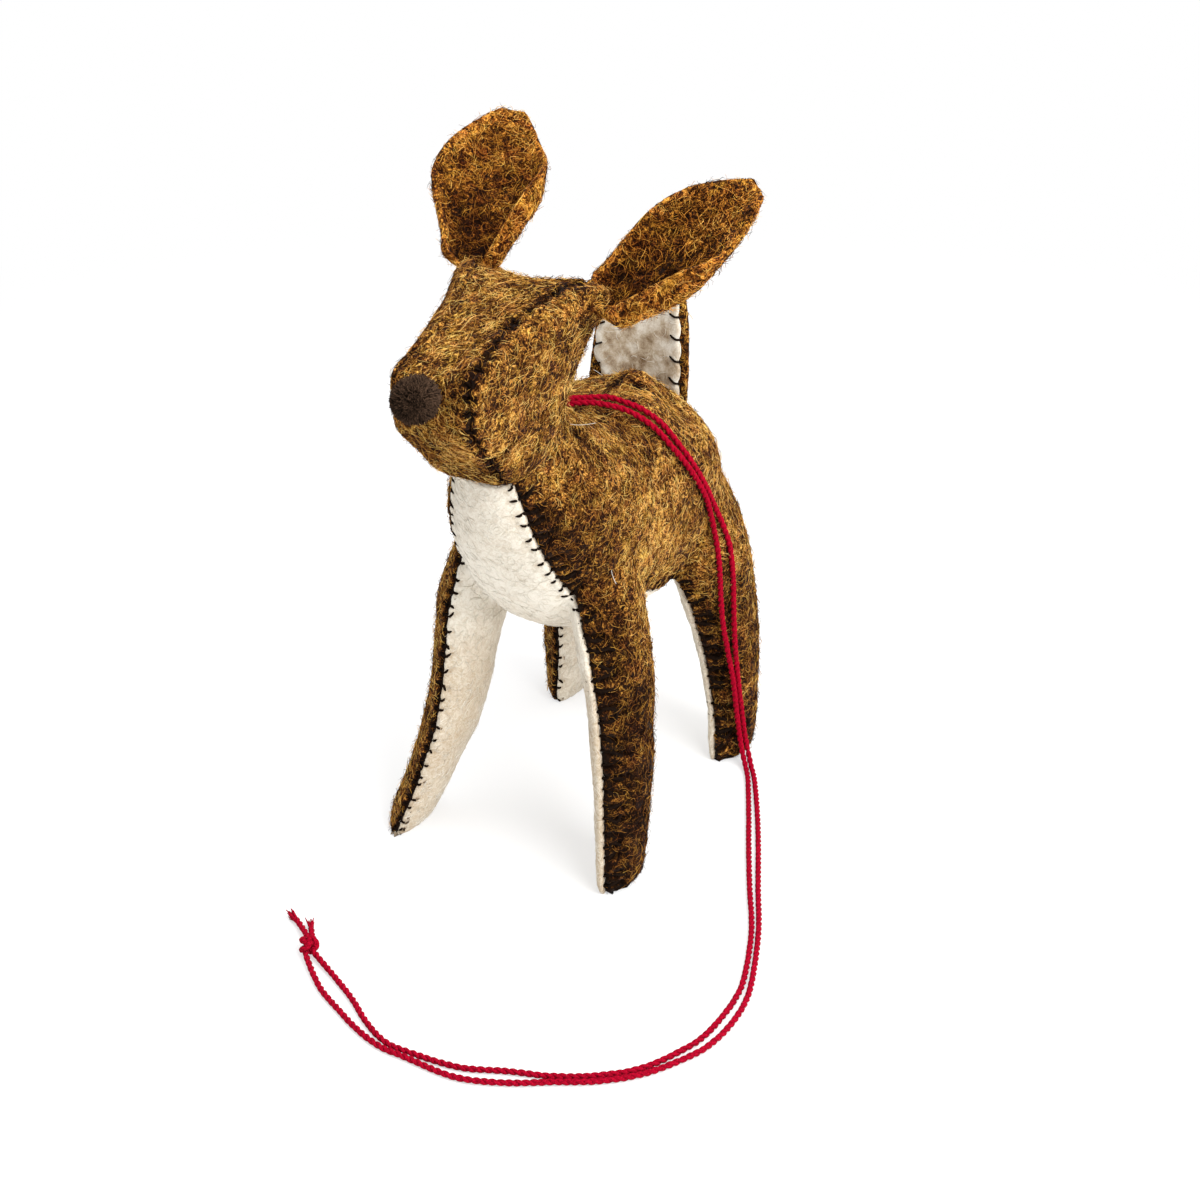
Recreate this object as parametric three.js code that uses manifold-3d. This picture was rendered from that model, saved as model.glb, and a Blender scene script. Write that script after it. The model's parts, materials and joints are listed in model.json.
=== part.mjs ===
// A small stuffed felt fawn that stands on four feet and hangs from a doubled cord.
// Millimetres, +Z up. It is drawn facing -Y with its left side at +X and its feet on Z = 0.
import * as THREE from 'three';
import { mergeVertices } from 'three/addons/utils/BufferGeometryUtils.js';
import Module from 'manifold-3d';

const wasm = await Module();
wasm.setup();

// Felt, seams and stuffing
const FELT = 1.2;
const SEAM_GAP = 0.3;
const FILL_GAP = 0.3;
const SEAT_GAP = 0.3;
const FOOT_FLAT = 0.5;
const LEAST_FILL = 0.4;

// Trunk and neck, from the rump to inside the head: back y and z, belly y and z, half width
const TRUNK = [
  [31.2, 54, 30.8, 48, 4],
  [29.5, 61, 28, 41, 11],
  [25.5, 66, 23.5, 34.5, 15],
  [18, 68.8, 15.5, 32.6, 16],
  [10.5, 69.6, 4, 33.6, 15.4],
  [5.5, 69.4, -8, 37.4, 14.8],
  [2.6, 69.8, -16, 45.5, 14],
  [-0.6, 71.4, -21, 55.5, 12],
  [-4, 75.5, -23.5, 63.5, 8.8],
  [-6.5, 80, -24, 70.5, 7.2],
  [-9, 85, -20, 77, 5.2],
];

// Head, from the nape to the muzzle: y, chin z, crown z, half width at the crown and at the jowl
const HEAD = [
  [-0.5, 83, 89, 5, 3.2],
  [-3, 79, 92.6, 8.2, 4.4],
  [-7, 74, 95.6, 11.2, 5.2],
  [-13, 69.5, 96.6, 12, 6.6],
  [-18, 68.5, 95.4, 10.6, 7.6],
  [-24, 69.5, 93.8, 8.9, 7.6],
  [-30, 75.5, 92, 7.8, 7],
  [-33.8, 80, 90.6, 6.9, 6.4],
  [-34.8, 82.5, 89, 5, 4.8],
];
const CROWN_DIP = 1.4;
const HEAD_TILT = 0.11;

// Legs, from inside the trunk to the sole: z, x, y, outer and inner half width, half depth
const FRONT_LEG = [
  [56, 7.6, -5, 4.6, 4.6, 6],
  [48, 10.4, -6.2, 5, 5, 7.6],
  [40, 12.2, -7.4, 5.4, 5, 8.4],
  [30, 13.8, -9.4, 5.3, 3.8, 7.8],
  [20, 15, -11.6, 5.2, 3.2, 7],
  [8, 17.2, -15, 4.6, 2.6, 6.2],
  [2, 18.3, -16.2, 4, 2.2, 6],
  [-FOOT_FLAT, 18.6, -16.4, 2.8, 1.6, 5.4],
];
const HIND_LEG = [
  [56, 7.6, 22, 5, 5, 6],
  [50, 9.8, 23, 6.2, 6, 8.4],
  [42, 11.5, 24, 7.6, 6.4, 9.6],
  [32, 13.4, 25.6, 7.2, 5, 8.8],
  [20, 15.2, 26.8, 6.2, 3.6, 7.2],
  [8, 16.8, 26.4, 5, 2.8, 6],
  [2, 17.3, 25.6, 4.2, 2.4, 5.8],
  [-FOOT_FLAT, 17.4, 25.4, 3, 1.8, 5.2],
];

// How far each foot is set outwards and backwards of its pattern, and its knee outwards
const STANCE = {
  leg_front_left: { stations: FRONT_LEG, hand: 1, out: 0, back: 0.4, knee: 1.3 },
  leg_front_right: { stations: FRONT_LEG, hand: -1, out: -0.5, back: -3.2, knee: -2.2 },
  leg_hind_left: { stations: HIND_LEG, hand: 1, out: 0.6, back: -0.4, knee: 0 },
  leg_hind_right: { stations: HIND_LEG, hand: -1, out: -2.2, back: 2, knee: 0 },
};
const LEG_ROOT_Z = 41;
const ROUND_SECTION = 2.2;
const BOX_SECTION = 5;
const EDGE_SHARPNESS = 1.4;
const TRUNK_SIDES = 22;
const HEAD_SIDES = 22;
const LEG_SIDES = 14;

// Seam lines of the underbody above the legs: half width and height at the chest and at the rump,
// and how much further out the chest seam lies on the right side
const CHEST_SEAM = [[9.8, 47], [7.7, 57], [5, 70]];
const CHEST_RIGHT_OUT = 1.6;
const RUMP_SEAM = [[7, 44], [0, 52]];
const LEG_SEAM_OUTWARD = 0.2;
const SEAM_RUN_OUT = 1;
const BELLY_SPLIT_Y = 8;
const BELLY_LAP = 0.01;
const THROAT_Z = 69.6;
const CHEST_BACK_Y = -9;

// Seam line of the head gusset, seen from above: half width and y
const GUSSET_SEAM = [
  [6, -42], [6, -33.5], [5.7, -29], [4.9, -24], [5, -21],
  [6.7, -17], [7.8, -12], [9.2, -8.5], [7, -5.5], [1.2, -2],
];
const NAPE_Z = 87;
const JAW_Y = -14;

// Ears: leaf length and half width, where it is widest, its rolled root and how early the roll opens
const EAR_LENGTH = 25.3;
const EAR_HALF_WIDTH = 8.1;
const EAR_TIP_HALF_WIDTH = 3;
const EAR_WIDEST_AT = 0.58;
const EAR_ROOT_RADIUS = 1.5;
const EAR_ROOT_HALF_WIDTH = 5;
const EAR_ROOT_CURL = 230;
const EAR_TIP_CURL = 30;
const EAR_OPENING = 0.45;

// Ear seats: y, the turn round the head from its left cheek and how far the root stands off the felt;
// then the directions of the ear and of its hollow
const EAR_LEFT = { y: -8, turn: 27, stand: 1.1, axis: [0.7, 0.42, 0.6], face: [-0.19, -0.69, 0.7] };
const EAR_RIGHT = { y: -8.5, turn: 131, stand: 1.4, axis: [-0.24, 0.74, 0.62], face: [0.4, -0.52, 0.75] };

// Tail: two leaves, the lining set in from the edge of the outer one
const TAIL_LENGTH = 24;
const TAIL_HALF_WIDTH = 9.5;
const TAIL_LINING_INSET = 0.9;
const TAIL_CURL = 24;
const TAIL_TAPER = 0.12;
const TAIL_ROUNDING = 0.97;
const TAIL_ROUND_POWER = 4;
const TAIL_CORNER_DROP = 2.8;
const TAIL_X = -4.9;
const TAIL_Y = 33.6;
const TAIL_Z = 60.6;
const TAIL_LEAN = 8;

// Pom-pom nose
const NOSE_DIAMETER = 6.6;
const NOSE_Z = 87.8;

// Hanging cord: one cord doubled, from the seam at the withers over the left flank to its knot
const CORD_DIAMETER = 0.95;
const CORD_SIDES = 8;
const UPPER_STRAND = [
  [-0.75, 2.6, 70.7], [-0.6, 3.6, 71.2], [0.6, 6.2, 70.5], [2.8, 8.7, 70.2], [5.7, 9.7, 69.5],
  [8.2, 10.8, 68.3], [10.8, 11.8, 66.2], [13.3, 12.4, 63.3], [15.3, 13.7, 59.7], [16.4, 16, 55.3],
  [16.7, 18.6, 50.9], [17.7, 20.1, 46.8], [19, 20.7, 42.4], [19.8, 20.7, 36.8], [20.2, 20.7, 30],
  [20.5, 21.1, 23.6], [21, 21.7, 17], [21.7, 22.2, 10.6], [22.4, 22.4, 5.6], [23.4, 22, 2.4],
  [24.8, 20.5, 0.8], [27, 17.3, 0.55], [31.6, 9, 0.55], [35.8, 0.6, 0.55], [40.1, -8.9, 0.55],
  [44.3, -18.3, 0.55], [47.8, -26.8, 0.55], [49.6, -33.6, 0.55], [49.6, -39.8, 0.55], [47.3, -46, 0.55],
  [42.6, -53, 0.55], [35.6, -59, 0.55], [27.6, -64.1, 0.55], [20, -66.8, 0.55], [11.4, -66.9, 0.55],
  [2, -64.9, 0.55], [-6, -61.4, 0.6], [-11.9, -57.3, 0.95],
];
const LOWER_STRAND = [
  [0.75, 2.6, 70.7], [1.1, 3.5, 71], [2.7, 4.9, 70.4], [5.8, 6.3, 69.4], [8.4, 7.2, 68.2],
  [10.9, 8.5, 66.1], [13.2, 9.4, 63.5], [14.6, 10.8, 60.8], [15.8, 12.9, 57.4], [16.6, 15.2, 53.3],
  [16.7, 17, 49.2], [17.3, 18.2, 45], [18.1, 18.5, 40.4], [18.5, 18.7, 35], [18.9, 19.1, 29],
  [19.4, 19.9, 23], [20.1, 20.5, 16.8], [20.9, 20.9, 10.6], [21.6, 21, 5.6], [22.4, 20.6, 2.4],
  [23.6, 19.3, 0.8], [25.7, 16.5, 0.55], [30.4, 8.3, 0.55], [34.6, 0, 0.55], [38.9, -9.4, 0.55],
  [43, -18.8, 0.55], [46.5, -27.2, 0.55], [47.7, -33.9, 0.55], [47.3, -39.4, 0.55], [45.6, -45.1, 0.55],
  [41.6, -52.1, 0.55], [34.8, -57.9, 0.55], [26.6, -62.1, 0.55], [19.6, -64.6, 0.55], [11.5, -65.6, 0.55],
  [3, -62.9, 0.55], [-4.6, -58.5, 0.6], [-11, -55.8, 0.95],
];
const KNOT_PLACE = [-13, -55.8, 1.4];
const KNOT_DIAMETER = 2.7;
const KNOT_STRETCH = 1.15;
const LONG_TAIL = [[-14.7, -55, 1], [-18.2, -51.2, 0.6], [-21.1, -47.6, 0.55]];
const SHORT_TAIL = [[-13.7, -54.1, 1], [-15.9, -51.2, 0.6], [-18.2, -48.4, 0.55]];

// Rows and sides of the small forms, and a length beyond the whole fawn
const EAR_ROWS = 10;
const EAR_COLUMNS = 8;
const TAIL_ROWS = 8;
const TAIL_COLUMNS = 6;
const ROUND_SIDES = 16;
const ROUND_ROWS = 10;
const ROOT_SIDES = 8;
const ROOT_CAP_ROWS = 4;
const BIG = 200;

// Colours
const BROWN = 0x7a5c3c;
const CREAM = 0xe9e3d8;
const NOSE_COLOUR = 0x2a211d;
const STUFFING_COLOUR = 0xf4f2ee;
const CORD_COLOUR = 0xa80f26;

function felt(color) {
  return new THREE.MeshStandardMaterial({ color, roughness: 0.95, metalness: 0 });
}

// A closed geometry as a solid that can be joined and cut, and back again
function solid(geometry) {
  const bare = geometry.clone();
  bare.deleteAttribute('normal');
  bare.deleteAttribute('uv');
  const merged = mergeVertices(bare, 1e-4);
  const vertProperties = new Float32Array(merged.attributes.position.array);
  const triVerts = new Uint32Array(merged.index.array);
  return new wasm.Manifold(new wasm.Mesh({ numProp: 3, vertProperties, triVerts }));
}

function geometryOf(body) {
  const mesh = body.getMesh();
  const geometry = new THREE.BufferGeometry();
  geometry.setAttribute('position', new THREE.BufferAttribute(new Float32Array(mesh.vertProperties), 3));
  geometry.setIndex(new THREE.BufferAttribute(new Uint32Array(mesh.triVerts), 1));
  return geometry;
}

function join(bodies) {
  return bodies.reduce((whole, body) => whole.add(body));
}

// Volume inside a closed skin, less than zero where its faces point inwards
function volume(points, index) {
  let sum = 0;
  for (let i = 0; i < index.length; i += 3) {
    const [a, b, c] = index.slice(i, i + 3).map((corner) => points[corner]);
    sum += a.dot(new THREE.Vector3().crossVectors(b, c)) / 6;
  }
  return sum;
}

// A skin over a row of rings, closed at both ends by a strip from side to side
function loft(rings) {
  const sides = rings[0].length;
  const points = rings.flat();
  const lastRing = (rings.length - 1) * sides;
  const index = [];
  for (let row = 0; row < lastRing; row += sides) {
    for (let side = 0; side < sides; side += 1) {
      const next = (side + 1) % sides;
      index.push(row + side, row + next, row + sides + next);
      index.push(row + side, row + sides + next, row + sides + side);
    }
  }
  for (let side = 0; side < sides / 2 - 1; side += 1) {
    const far = sides - 1 - side;
    index.push(side + 1, side, far);
    index.push(side + 1, far, far - 1);
    index.push(lastRing + side, lastRing + side + 1, lastRing + far);
    index.push(lastRing + side + 1, lastRing + far - 1, lastRing + far);
  }
  const geometry = new THREE.BufferGeometry().setFromPoints(points);
  geometry.setIndex(volume(points, index) < 0 ? index.reverse() : index);
  return geometry;
}

function power(value, exponent) {
  return Math.sign(value) * Math.abs(value) ** exponent;
}

// Points round a section, with a narrow facet and not a corner on each axis
function ring(sides, place) {
  return Array.from({ length: sides }, (unused, i) => place((2 * Math.PI * (i + 0.5)) / sides));
}

// The stuffed forms, each with its skin the given depth inside the outer face of the felt
function trunkForm(depth) {
  return loft(TRUNK.map(([backY, backZ, bellyY, bellyZ, half], row) => {
    const rumpEnd = row === 0 ? depth : 0;
    const middle = new THREE.Vector3(0, (backY + bellyY) / 2 - rumpEnd, (backZ + bellyZ) / 2);
    const rise = new THREE.Vector3(0, (backY - bellyY) / 2, (backZ - bellyZ) / 2);
    rise.setLength(rise.length() - depth);
    return ring(TRUNK_SIDES, (turn) => {
      const point = middle.clone().addScaledVector(rise, power(Math.sin(turn), 2 / ROUND_SECTION));
      point.x = (half - depth) * power(Math.cos(turn), 2 / ROUND_SECTION);
      return point;
    });
  }));
}

// The crown dips between the two seams that carry the ears, and the cheeks draw in to the jowl
function headPoint([y, chin, crown, crownHalf, jowlHalf], turn, depth) {
  const across = power(Math.cos(turn), 2 / BOX_SECTION);
  const up = power(Math.sin(turn), 2 / BOX_SECTION);
  const half = THREE.MathUtils.lerp(jowlHalf, crownHalf, (up + 1) / 2) - depth;
  const dip = CROWN_DIP * Math.max(0, up) * (1 - across ** 2);
  const height = (chin + crown) / 2 + ((crown - chin) / 2 - depth) * up - dip;
  return new THREE.Vector3(half * across, y, height + HEAD_TILT * half * across);
}

function headForm(depth) {
  const napeY = HEAD[0][0] - depth;
  const muzzleY = HEAD.at(-1)[0] + depth;
  return loft(HEAD.map((station) => ring(HEAD_SIDES, (turn) => {
    const point = headPoint(station, turn, depth);
    point.y = THREE.MathUtils.clamp(point.y, muzzleY, napeY);
    return point;
  })));
}

// The middle of a leg at one station, with its knee and foot set for the stance
function legMiddle([z, x, y], { hand, out, back, knee }) {
  const share = THREE.MathUtils.clamp(1 - z / LEG_ROOT_Z, 0, 1);
  const bow = knee * 4 * share * (1 - share);
  return new THREE.Vector3(hand * (x + out * share + bow), y + back * share, z);
}

// A leg is a lens from above: two felt faces that meet in an edge before and behind
function legForm(stance, depth) {
  const last = stance.stations.length - 1;
  return loft(stance.stations.map((station, row) => {
    const [, , , outer, inner, halfDepth] = station;
    const middle = legMiddle(station, stance);
    middle.z += row === last ? depth : 0;
    const outerReach = Math.max(outer - depth, LEAST_FILL);
    const innerReach = Math.max(inner - depth, LEAST_FILL);
    const reachAlong = halfDepth - EDGE_SHARPNESS * depth;
    return ring(LEG_SIDES, (turn) => {
      const across = power(Math.sin(turn), EDGE_SHARPNESS);
      const reach = across > 0 ? outerReach : innerReach;
      return new THREE.Vector3(stance.hand * reach * across, reachAlong * Math.cos(turn), 0).add(middle);
    });
  }));
}

function form(name, depth) {
  if (name === 'trunk') {
    return solid(trunkForm(depth));
  }
  if (name === 'head') {
    return solid(headForm(depth));
  }
  return solid(legForm(STANCE[name], depth));
}

const LEGS = Object.keys(STANCE);
const allForms = (depth) => join(['trunk', 'head', ...LEGS].map((name) => form(name, depth)));

function block(width, depth, height, x, y, z) {
  return solid(new THREE.BoxGeometry(width, depth, height).translate(x, y, z));
}

// Cutters along the seams. The grow value widens a cutter so that its neighbour keeps a gap.
function outlineCutter(points, along) {
  const shape = new THREE.Shape(points.map(([across, up]) => new THREE.Vector2(across, up)));
  const slab = new THREE.ExtrudeGeometry(shape, { depth: BIG, bevelEnabled: false });
  slab.translate(0, 0, -BIG / 2);
  if (along === 'y') {
    slab.rotateX(Math.PI / 2);
  }
  if (along === 'x') {
    slab.rotateY(Math.PI / 2);
    slab.rotateX(Math.PI / 2);
  }
  return solid(slab);
}

// A leg's seam runs down just outside the middle of the leg and a little way past its sole
function legSeam(stance) {
  const points = stance.stations.filter(([z]) => z < LEG_ROOT_Z).map((station) => {
    const middle = legMiddle(station, stance);
    return [Math.abs(middle.x) + LEG_SEAM_OUTWARD, middle.z];
  }).reverse();
  const [soleX, soleZ] = points[0];
  return [[soleX, soleZ - SEAM_RUN_OUT], ...points];
}

// A closed outline from the seam on each side: distance from the middle, then height or y
function seamOutline(left, right, grow) {
  const leftSide = left.map(([half, along]) => [half + grow, along]);
  const rightSide = right.map(([half, along]) => [-half - grow, along]).reverse();
  return [...leftSide, ...rightSide];
}

function underbodyCutter(grow) {
  const frontLeft = [...legSeam(STANCE.leg_front_left), ...CHEST_SEAM];
  const chestRight = CHEST_SEAM.map(([half, z]) => [half + CHEST_RIGHT_OUT, z]);
  const frontRight = [...legSeam(STANCE.leg_front_right), ...chestRight];
  const hindLeft = [...legSeam(STANCE.leg_hind_left), ...RUMP_SEAM];
  const hindRight = [...legSeam(STANCE.leg_hind_right), ...RUMP_SEAM];
  const front = outlineCutter(seamOutline(frontLeft, frontRight, grow), 'y');
  const hind = outlineCutter(seamOutline(hindLeft, hindRight, grow), 'y');
  const chestLowZ = (CHEST_SEAM[0][1] + CHEST_SEAM[1][1]) / 2;
  const frontSide = outlineCutter([
    [-BIG / 2, -BIG / 2],
    [BELLY_SPLIT_Y + BELLY_LAP, -BIG / 2],
    [BELLY_SPLIT_Y + BELLY_LAP, chestLowZ + grow],
    [CHEST_BACK_Y + grow, chestLowZ + grow],
    [CHEST_BACK_Y + grow, THROAT_Z + grow],
    [-BIG / 2, THROAT_Z + grow],
  ], 'x');
  const hindSide = outlineCutter([
    [BELLY_SPLIT_Y, -BIG / 2],
    [BIG / 2, -BIG / 2],
    [BIG / 2, BIG / 2],
    [BELLY_SPLIT_Y, BIG / 2],
  ], 'x');
  return front.intersect(frontSide).add(hind.intersect(hindSide));
}

function gussetCutter(grow) {
  const outline = seamOutline(GUSSET_SEAM, GUSSET_SEAM, grow);
  const shape = new THREE.Shape(outline.map(([across, y]) => new THREE.Vector2(across, y)));
  const slab = solid(new THREE.ExtrudeGeometry(shape, { depth: BIG, bevelEnabled: false }));
  const side = outlineCutter([
    [-BIG / 2, THROAT_Z + SEAM_GAP - grow],
    [JAW_Y + grow, THROAT_Z + SEAM_GAP - grow],
    [JAW_Y + grow, NAPE_Z - grow],
    [BIG / 2, NAPE_Z - grow],
    [BIG / 2, BIG],
    [-BIG / 2, BIG],
  ], 'x');
  return slab.intersect(side);
}

const ornament = new THREE.Group();
const fawn = new THREE.Group();
ornament.add(fawn);

function addPiece(name, geometry, material, parent = fawn) {
  const mesh = new THREE.Mesh(geometry, material);
  mesh.name = name;
  parent.add(mesh);
  return mesh;
}

// Felt panels: one skin over all the stuffed forms, parted along its seams
function addPanels() {
  const floor = block(BIG, BIG, BIG, 0, 0, -BIG / 2);
  const skin = allForms(0).subtract(allForms(FELT)).subtract(floor);
  const parting = block(SEAM_GAP, BIG, BIG, 0, 0, BIG / 2);
  const sides = skin
    .subtract(underbodyCutter(SEAM_GAP))
    .subtract(gussetCutter(SEAM_GAP))
    .subtract(parting);
  const half = (hand) => sides.intersect(block(BIG, BIG, 2 * BIG, (hand * BIG) / 2, 0, 0));
  addPiece('side_panel_left', geometryOf(half(1)), felt(BROWN));
  addPiece('side_panel_right', geometryOf(half(-1)), felt(BROWN));
  addPiece('underbody_panel', geometryOf(skin.intersect(underbodyCutter(0))), felt(CREAM));
  addPiece('head_gusset', geometryOf(skin.intersect(gussetCutter(0))), felt(BROWN));
}

// Stuffing: the trunk is whole, and each smaller wad is cut by the larger ones
function addStuffing() {
  const hollow = form('trunk', FELT);
  const wad = (name) => form(name, FELT + FILL_GAP);
  const stuffing = felt(STUFFING_COLOUR);
  addPiece('stuffing_trunk', geometryOf(wad('trunk')), stuffing);
  addPiece('stuffing_head', geometryOf(wad('head').subtract(hollow)), stuffing);
  for (const name of LEGS) {
    addPiece(`stuffing_${name}`, geometryOf(wad(name).subtract(hollow)), stuffing);
  }
}

// A leaf of felt along +Z, cupped about its length so that its hollow faces +Y
function leaf({ length, halfWidth, halfCurl, rows, columns, lift, drop = 0 }) {
  const rings = [];
  for (let row = 0; row <= rows; row += 1) {
    const share = row / rows;
    const bend = halfCurl(share);
    const radius = halfWidth(share) / bend;
    const arc = (side, radial) => {
      const turn = side * bend;
      const rise = lift + radius - radial * Math.cos(turn);
      const height = share * length - drop * (1 - share) * side ** 2;
      return new THREE.Vector3(radial * Math.sin(turn), rise, height);
    };
    const sides = Array.from({ length: columns + 1 }, (unused, i) => -1 + (2 * i) / columns);
    const outer = sides.map((side) => arc(side, radius + FELT / 2));
    const inner = sides.map((side) => arc(-side, radius - FELT / 2));
    rings.push([...outer, ...inner]);
  }
  return loft(rings);
}

// Directions of a leaf: across it, out of its hollow, and along it
function leafFrame(axis, face) {
  const along = new THREE.Vector3(...axis).normalize();
  const hollow = new THREE.Vector3(...face);
  hollow.addScaledVector(along, -hollow.dot(along)).normalize();
  return [new THREE.Vector3().crossVectors(hollow, along), hollow, along];
}

function pose(mesh, root, frame) {
  mesh.quaternion.setFromRotationMatrix(new THREE.Matrix4().makeBasis(...frame));
  mesh.position.set(...root);
}

function earForm() {
  const taper = (share) => THREE.MathUtils.lerp(EAR_ROOT_HALF_WIDTH, EAR_TIP_HALF_WIDTH, share);
  const bulge = EAR_HALF_WIDTH - taper(EAR_WIDEST_AT);
  const widening = Math.log(0.5) / Math.log(EAR_WIDEST_AT);
  const width = (share) => taper(share) + bulge * Math.sin(Math.PI * share ** widening);
  const curl = (share) => THREE.MathUtils.degToRad(
    THREE.MathUtils.lerp(EAR_ROOT_CURL, EAR_TIP_CURL, share ** EAR_OPENING) / 2,
  );
  const blade = leaf({
    length: EAR_LENGTH,
    halfWidth: width,
    halfCurl: curl,
    rows: EAR_ROWS,
    columns: EAR_COLUMNS,
    lift: -FELT / 2,
  });
  const straight = EAR_ROOT_HALF_WIDTH - EAR_ROOT_RADIUS;
  const root = new THREE.CapsuleGeometry(EAR_ROOT_RADIUS, straight, ROOT_CAP_ROWS, ROOT_SIDES);
  return geometryOf(solid(blade).add(solid(root.rotateZ(Math.PI / 2))));
}

// The values of a row of stations between two of them, found by the station's first value
function between(stations, first) {
  const next = stations.findIndex((station) => station[0] < first);
  const share = THREE.MathUtils.inverseLerp(stations[next - 1][0], stations[next][0], first);
  return stations[next].map((value, i) => THREE.MathUtils.lerp(stations[next - 1][i], value, share));
}

// Each ear stands off the edge between cheek and crown with the near end of its rolled root
function addEar(name, { y, turn, stand, axis, face }) {
  const station = between(HEAD, y);
  const at = (degrees) => headPoint(station, THREE.MathUtils.degToRad(degrees), 0);
  const round = at(turn + 1).sub(at(turn - 1)).normalize();
  const outwards = new THREE.Vector3(round.z, 0, -round.x);
  const root = at(turn).addScaledVector(outwards, EAR_ROOT_RADIUS + stand);
  pose(addPiece(name, earForm(), felt(BROWN)), root.toArray(), leafFrame(axis, face));
}

function addEars() {
  addEar('ear_left', EAR_LEFT);
  addEar('ear_right', EAR_RIGHT);
}

// The tail's two leaves stand behind the slope of the rump, with their lower corners beside it
function addTail() {
  const outerWidth = (share) => TAIL_HALF_WIDTH * (1 - TAIL_TAPER * share)
    * Math.sqrt(1 - TAIL_ROUNDING * share ** TAIL_ROUND_POWER);
  const liningWidth = (share) => outerWidth(share) * (1 - TAIL_LINING_INSET / TAIL_HALF_WIDTH);
  const halfCurl = () => THREE.MathUtils.degToRad(TAIL_CURL / 2);
  const shared = { halfCurl, rows: TAIL_ROWS, columns: TAIL_COLUMNS, drop: TAIL_CORNER_DROP };
  const outer = leaf({ ...shared, length: TAIL_LENGTH, halfWidth: outerWidth, lift: 0 });
  const lining = leaf({
    ...shared,
    length: TAIL_LENGTH - TAIL_LINING_INSET,
    halfWidth: liningWidth,
    lift: FELT + SEAT_GAP,
  });
  const lean = THREE.MathUtils.degToRad(TAIL_LEAN);
  const frame = leafFrame([0, Math.sin(lean), Math.cos(lean)], [0, -1, 0]);
  const root = [TAIL_X, TAIL_Y, TAIL_Z];
  pose(addPiece('tail_outer', outer, felt(BROWN)), root, frame);
  pose(addPiece('tail_lining', lining, felt(CREAM)), root, frame);
}

function addNose() {
  const muzzleY = HEAD.at(-1)[0];
  const radius = NOSE_DIAMETER / 2;
  const ball = new THREE.SphereGeometry(radius, ROUND_SIDES, ROUND_ROWS);
  const nose = addPiece('nose_pompom', ball, felt(NOSE_COLOUR));
  nose.position.set(0, muzzleY - SEAT_GAP - radius, NOSE_Z);
}

// A route that is stepped from one chosen point to the next
class Route extends THREE.CatmullRomCurve3 {
  getPointAt(share, target) {
    return this.getPoint(share, target);
  }

  getTangentAt(share, target) {
    return this.getTangent(share, target);
  }
}

function addCord() {
  const red = felt(CORD_COLOUR);
  const radius = CORD_DIAMETER / 2;
  const corner = (turn) => new THREE.Vector2(radius * Math.cos(turn), radius * Math.sin(turn));
  const section = new THREE.Shape(ring(CORD_SIDES, corner));
  const stretches = {
    cord_strand_upper: UPPER_STRAND,
    cord_strand_lower: LOWER_STRAND,
    cord_tail_long: LONG_TAIL,
    cord_tail_short: SHORT_TAIL,
  };
  for (const [name, points] of Object.entries(stretches)) {
    const route = points.map((point) => new THREE.Vector3(...point));
    const extrudePath = new Route(route, false, 'centripetal');
    const tube = new THREE.ExtrudeGeometry(section, { steps: points.length - 1, extrudePath });
    addPiece(name, tube, red, ornament);
  }
  const ball = new THREE.SphereGeometry(KNOT_DIAMETER / 2, ROUND_SIDES, ROUND_ROWS);
  const knot = addPiece('cord_knot', ball, red, ornament);
  const [alongX, alongY] = LONG_TAIL.at(-1).map((value, i) => value - KNOT_PLACE[i]);
  knot.position.set(...KNOT_PLACE);
  knot.rotation.z = Math.atan2(alongY, alongX);
  knot.scale.x = KNOT_STRETCH;
}

addPanels();
addStuffing();
addEars();
addTail();
addNose();
addCord();

// The origin is under the middle of the fawn, on the surface that its feet stand on
const reach = new THREE.Box3().setFromObject(fawn, true);
ornament.position.set(-(reach.min.x + reach.max.x) / 2, -(reach.min.y + reach.max.y) / 2, -reach.min.z);
ornament.updateMatrixWorld(true);

export default ornament;
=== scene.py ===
"""A small stuffed felt fawn with cupped ears, an upright tail, a pom-pom nose and a doubled red cord.

Shapes are drawn in millimetres, facing -Y with the fawn's left side at +X and its feet on Z = 0,
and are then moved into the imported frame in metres.
"""
import json
import math
from collections import namedtuple

import bpy
import numpy as np
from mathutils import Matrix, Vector, noise
from mathutils.bvhtree import BVHTree
from mathutils.kdtree import KDTree


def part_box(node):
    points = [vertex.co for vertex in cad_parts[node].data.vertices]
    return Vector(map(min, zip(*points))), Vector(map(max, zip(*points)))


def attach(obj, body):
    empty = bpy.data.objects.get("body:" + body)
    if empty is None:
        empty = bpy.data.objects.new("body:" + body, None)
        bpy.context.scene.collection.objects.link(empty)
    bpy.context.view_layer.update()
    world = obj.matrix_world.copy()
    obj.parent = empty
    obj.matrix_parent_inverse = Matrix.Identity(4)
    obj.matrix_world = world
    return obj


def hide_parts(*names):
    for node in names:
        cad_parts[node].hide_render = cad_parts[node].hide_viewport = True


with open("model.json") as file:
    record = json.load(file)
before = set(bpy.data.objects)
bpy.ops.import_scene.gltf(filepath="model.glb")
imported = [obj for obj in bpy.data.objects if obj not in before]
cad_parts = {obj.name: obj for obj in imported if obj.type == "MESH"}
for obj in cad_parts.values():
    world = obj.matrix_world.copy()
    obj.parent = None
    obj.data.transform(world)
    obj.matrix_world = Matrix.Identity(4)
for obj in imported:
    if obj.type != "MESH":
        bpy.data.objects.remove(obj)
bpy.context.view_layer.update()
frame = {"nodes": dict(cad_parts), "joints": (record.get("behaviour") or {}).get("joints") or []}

MM = 0.001

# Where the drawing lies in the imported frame, from the nose that both of them have
NOSE_AT = np.array([0, -38.4, 87.8])
NOSE_RADIUS = 3.3
nose_low, nose_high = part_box("nose_pompom")
SHIFT = np.array((nose_low + nose_high) / 2) / MM - NOSE_AT

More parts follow.
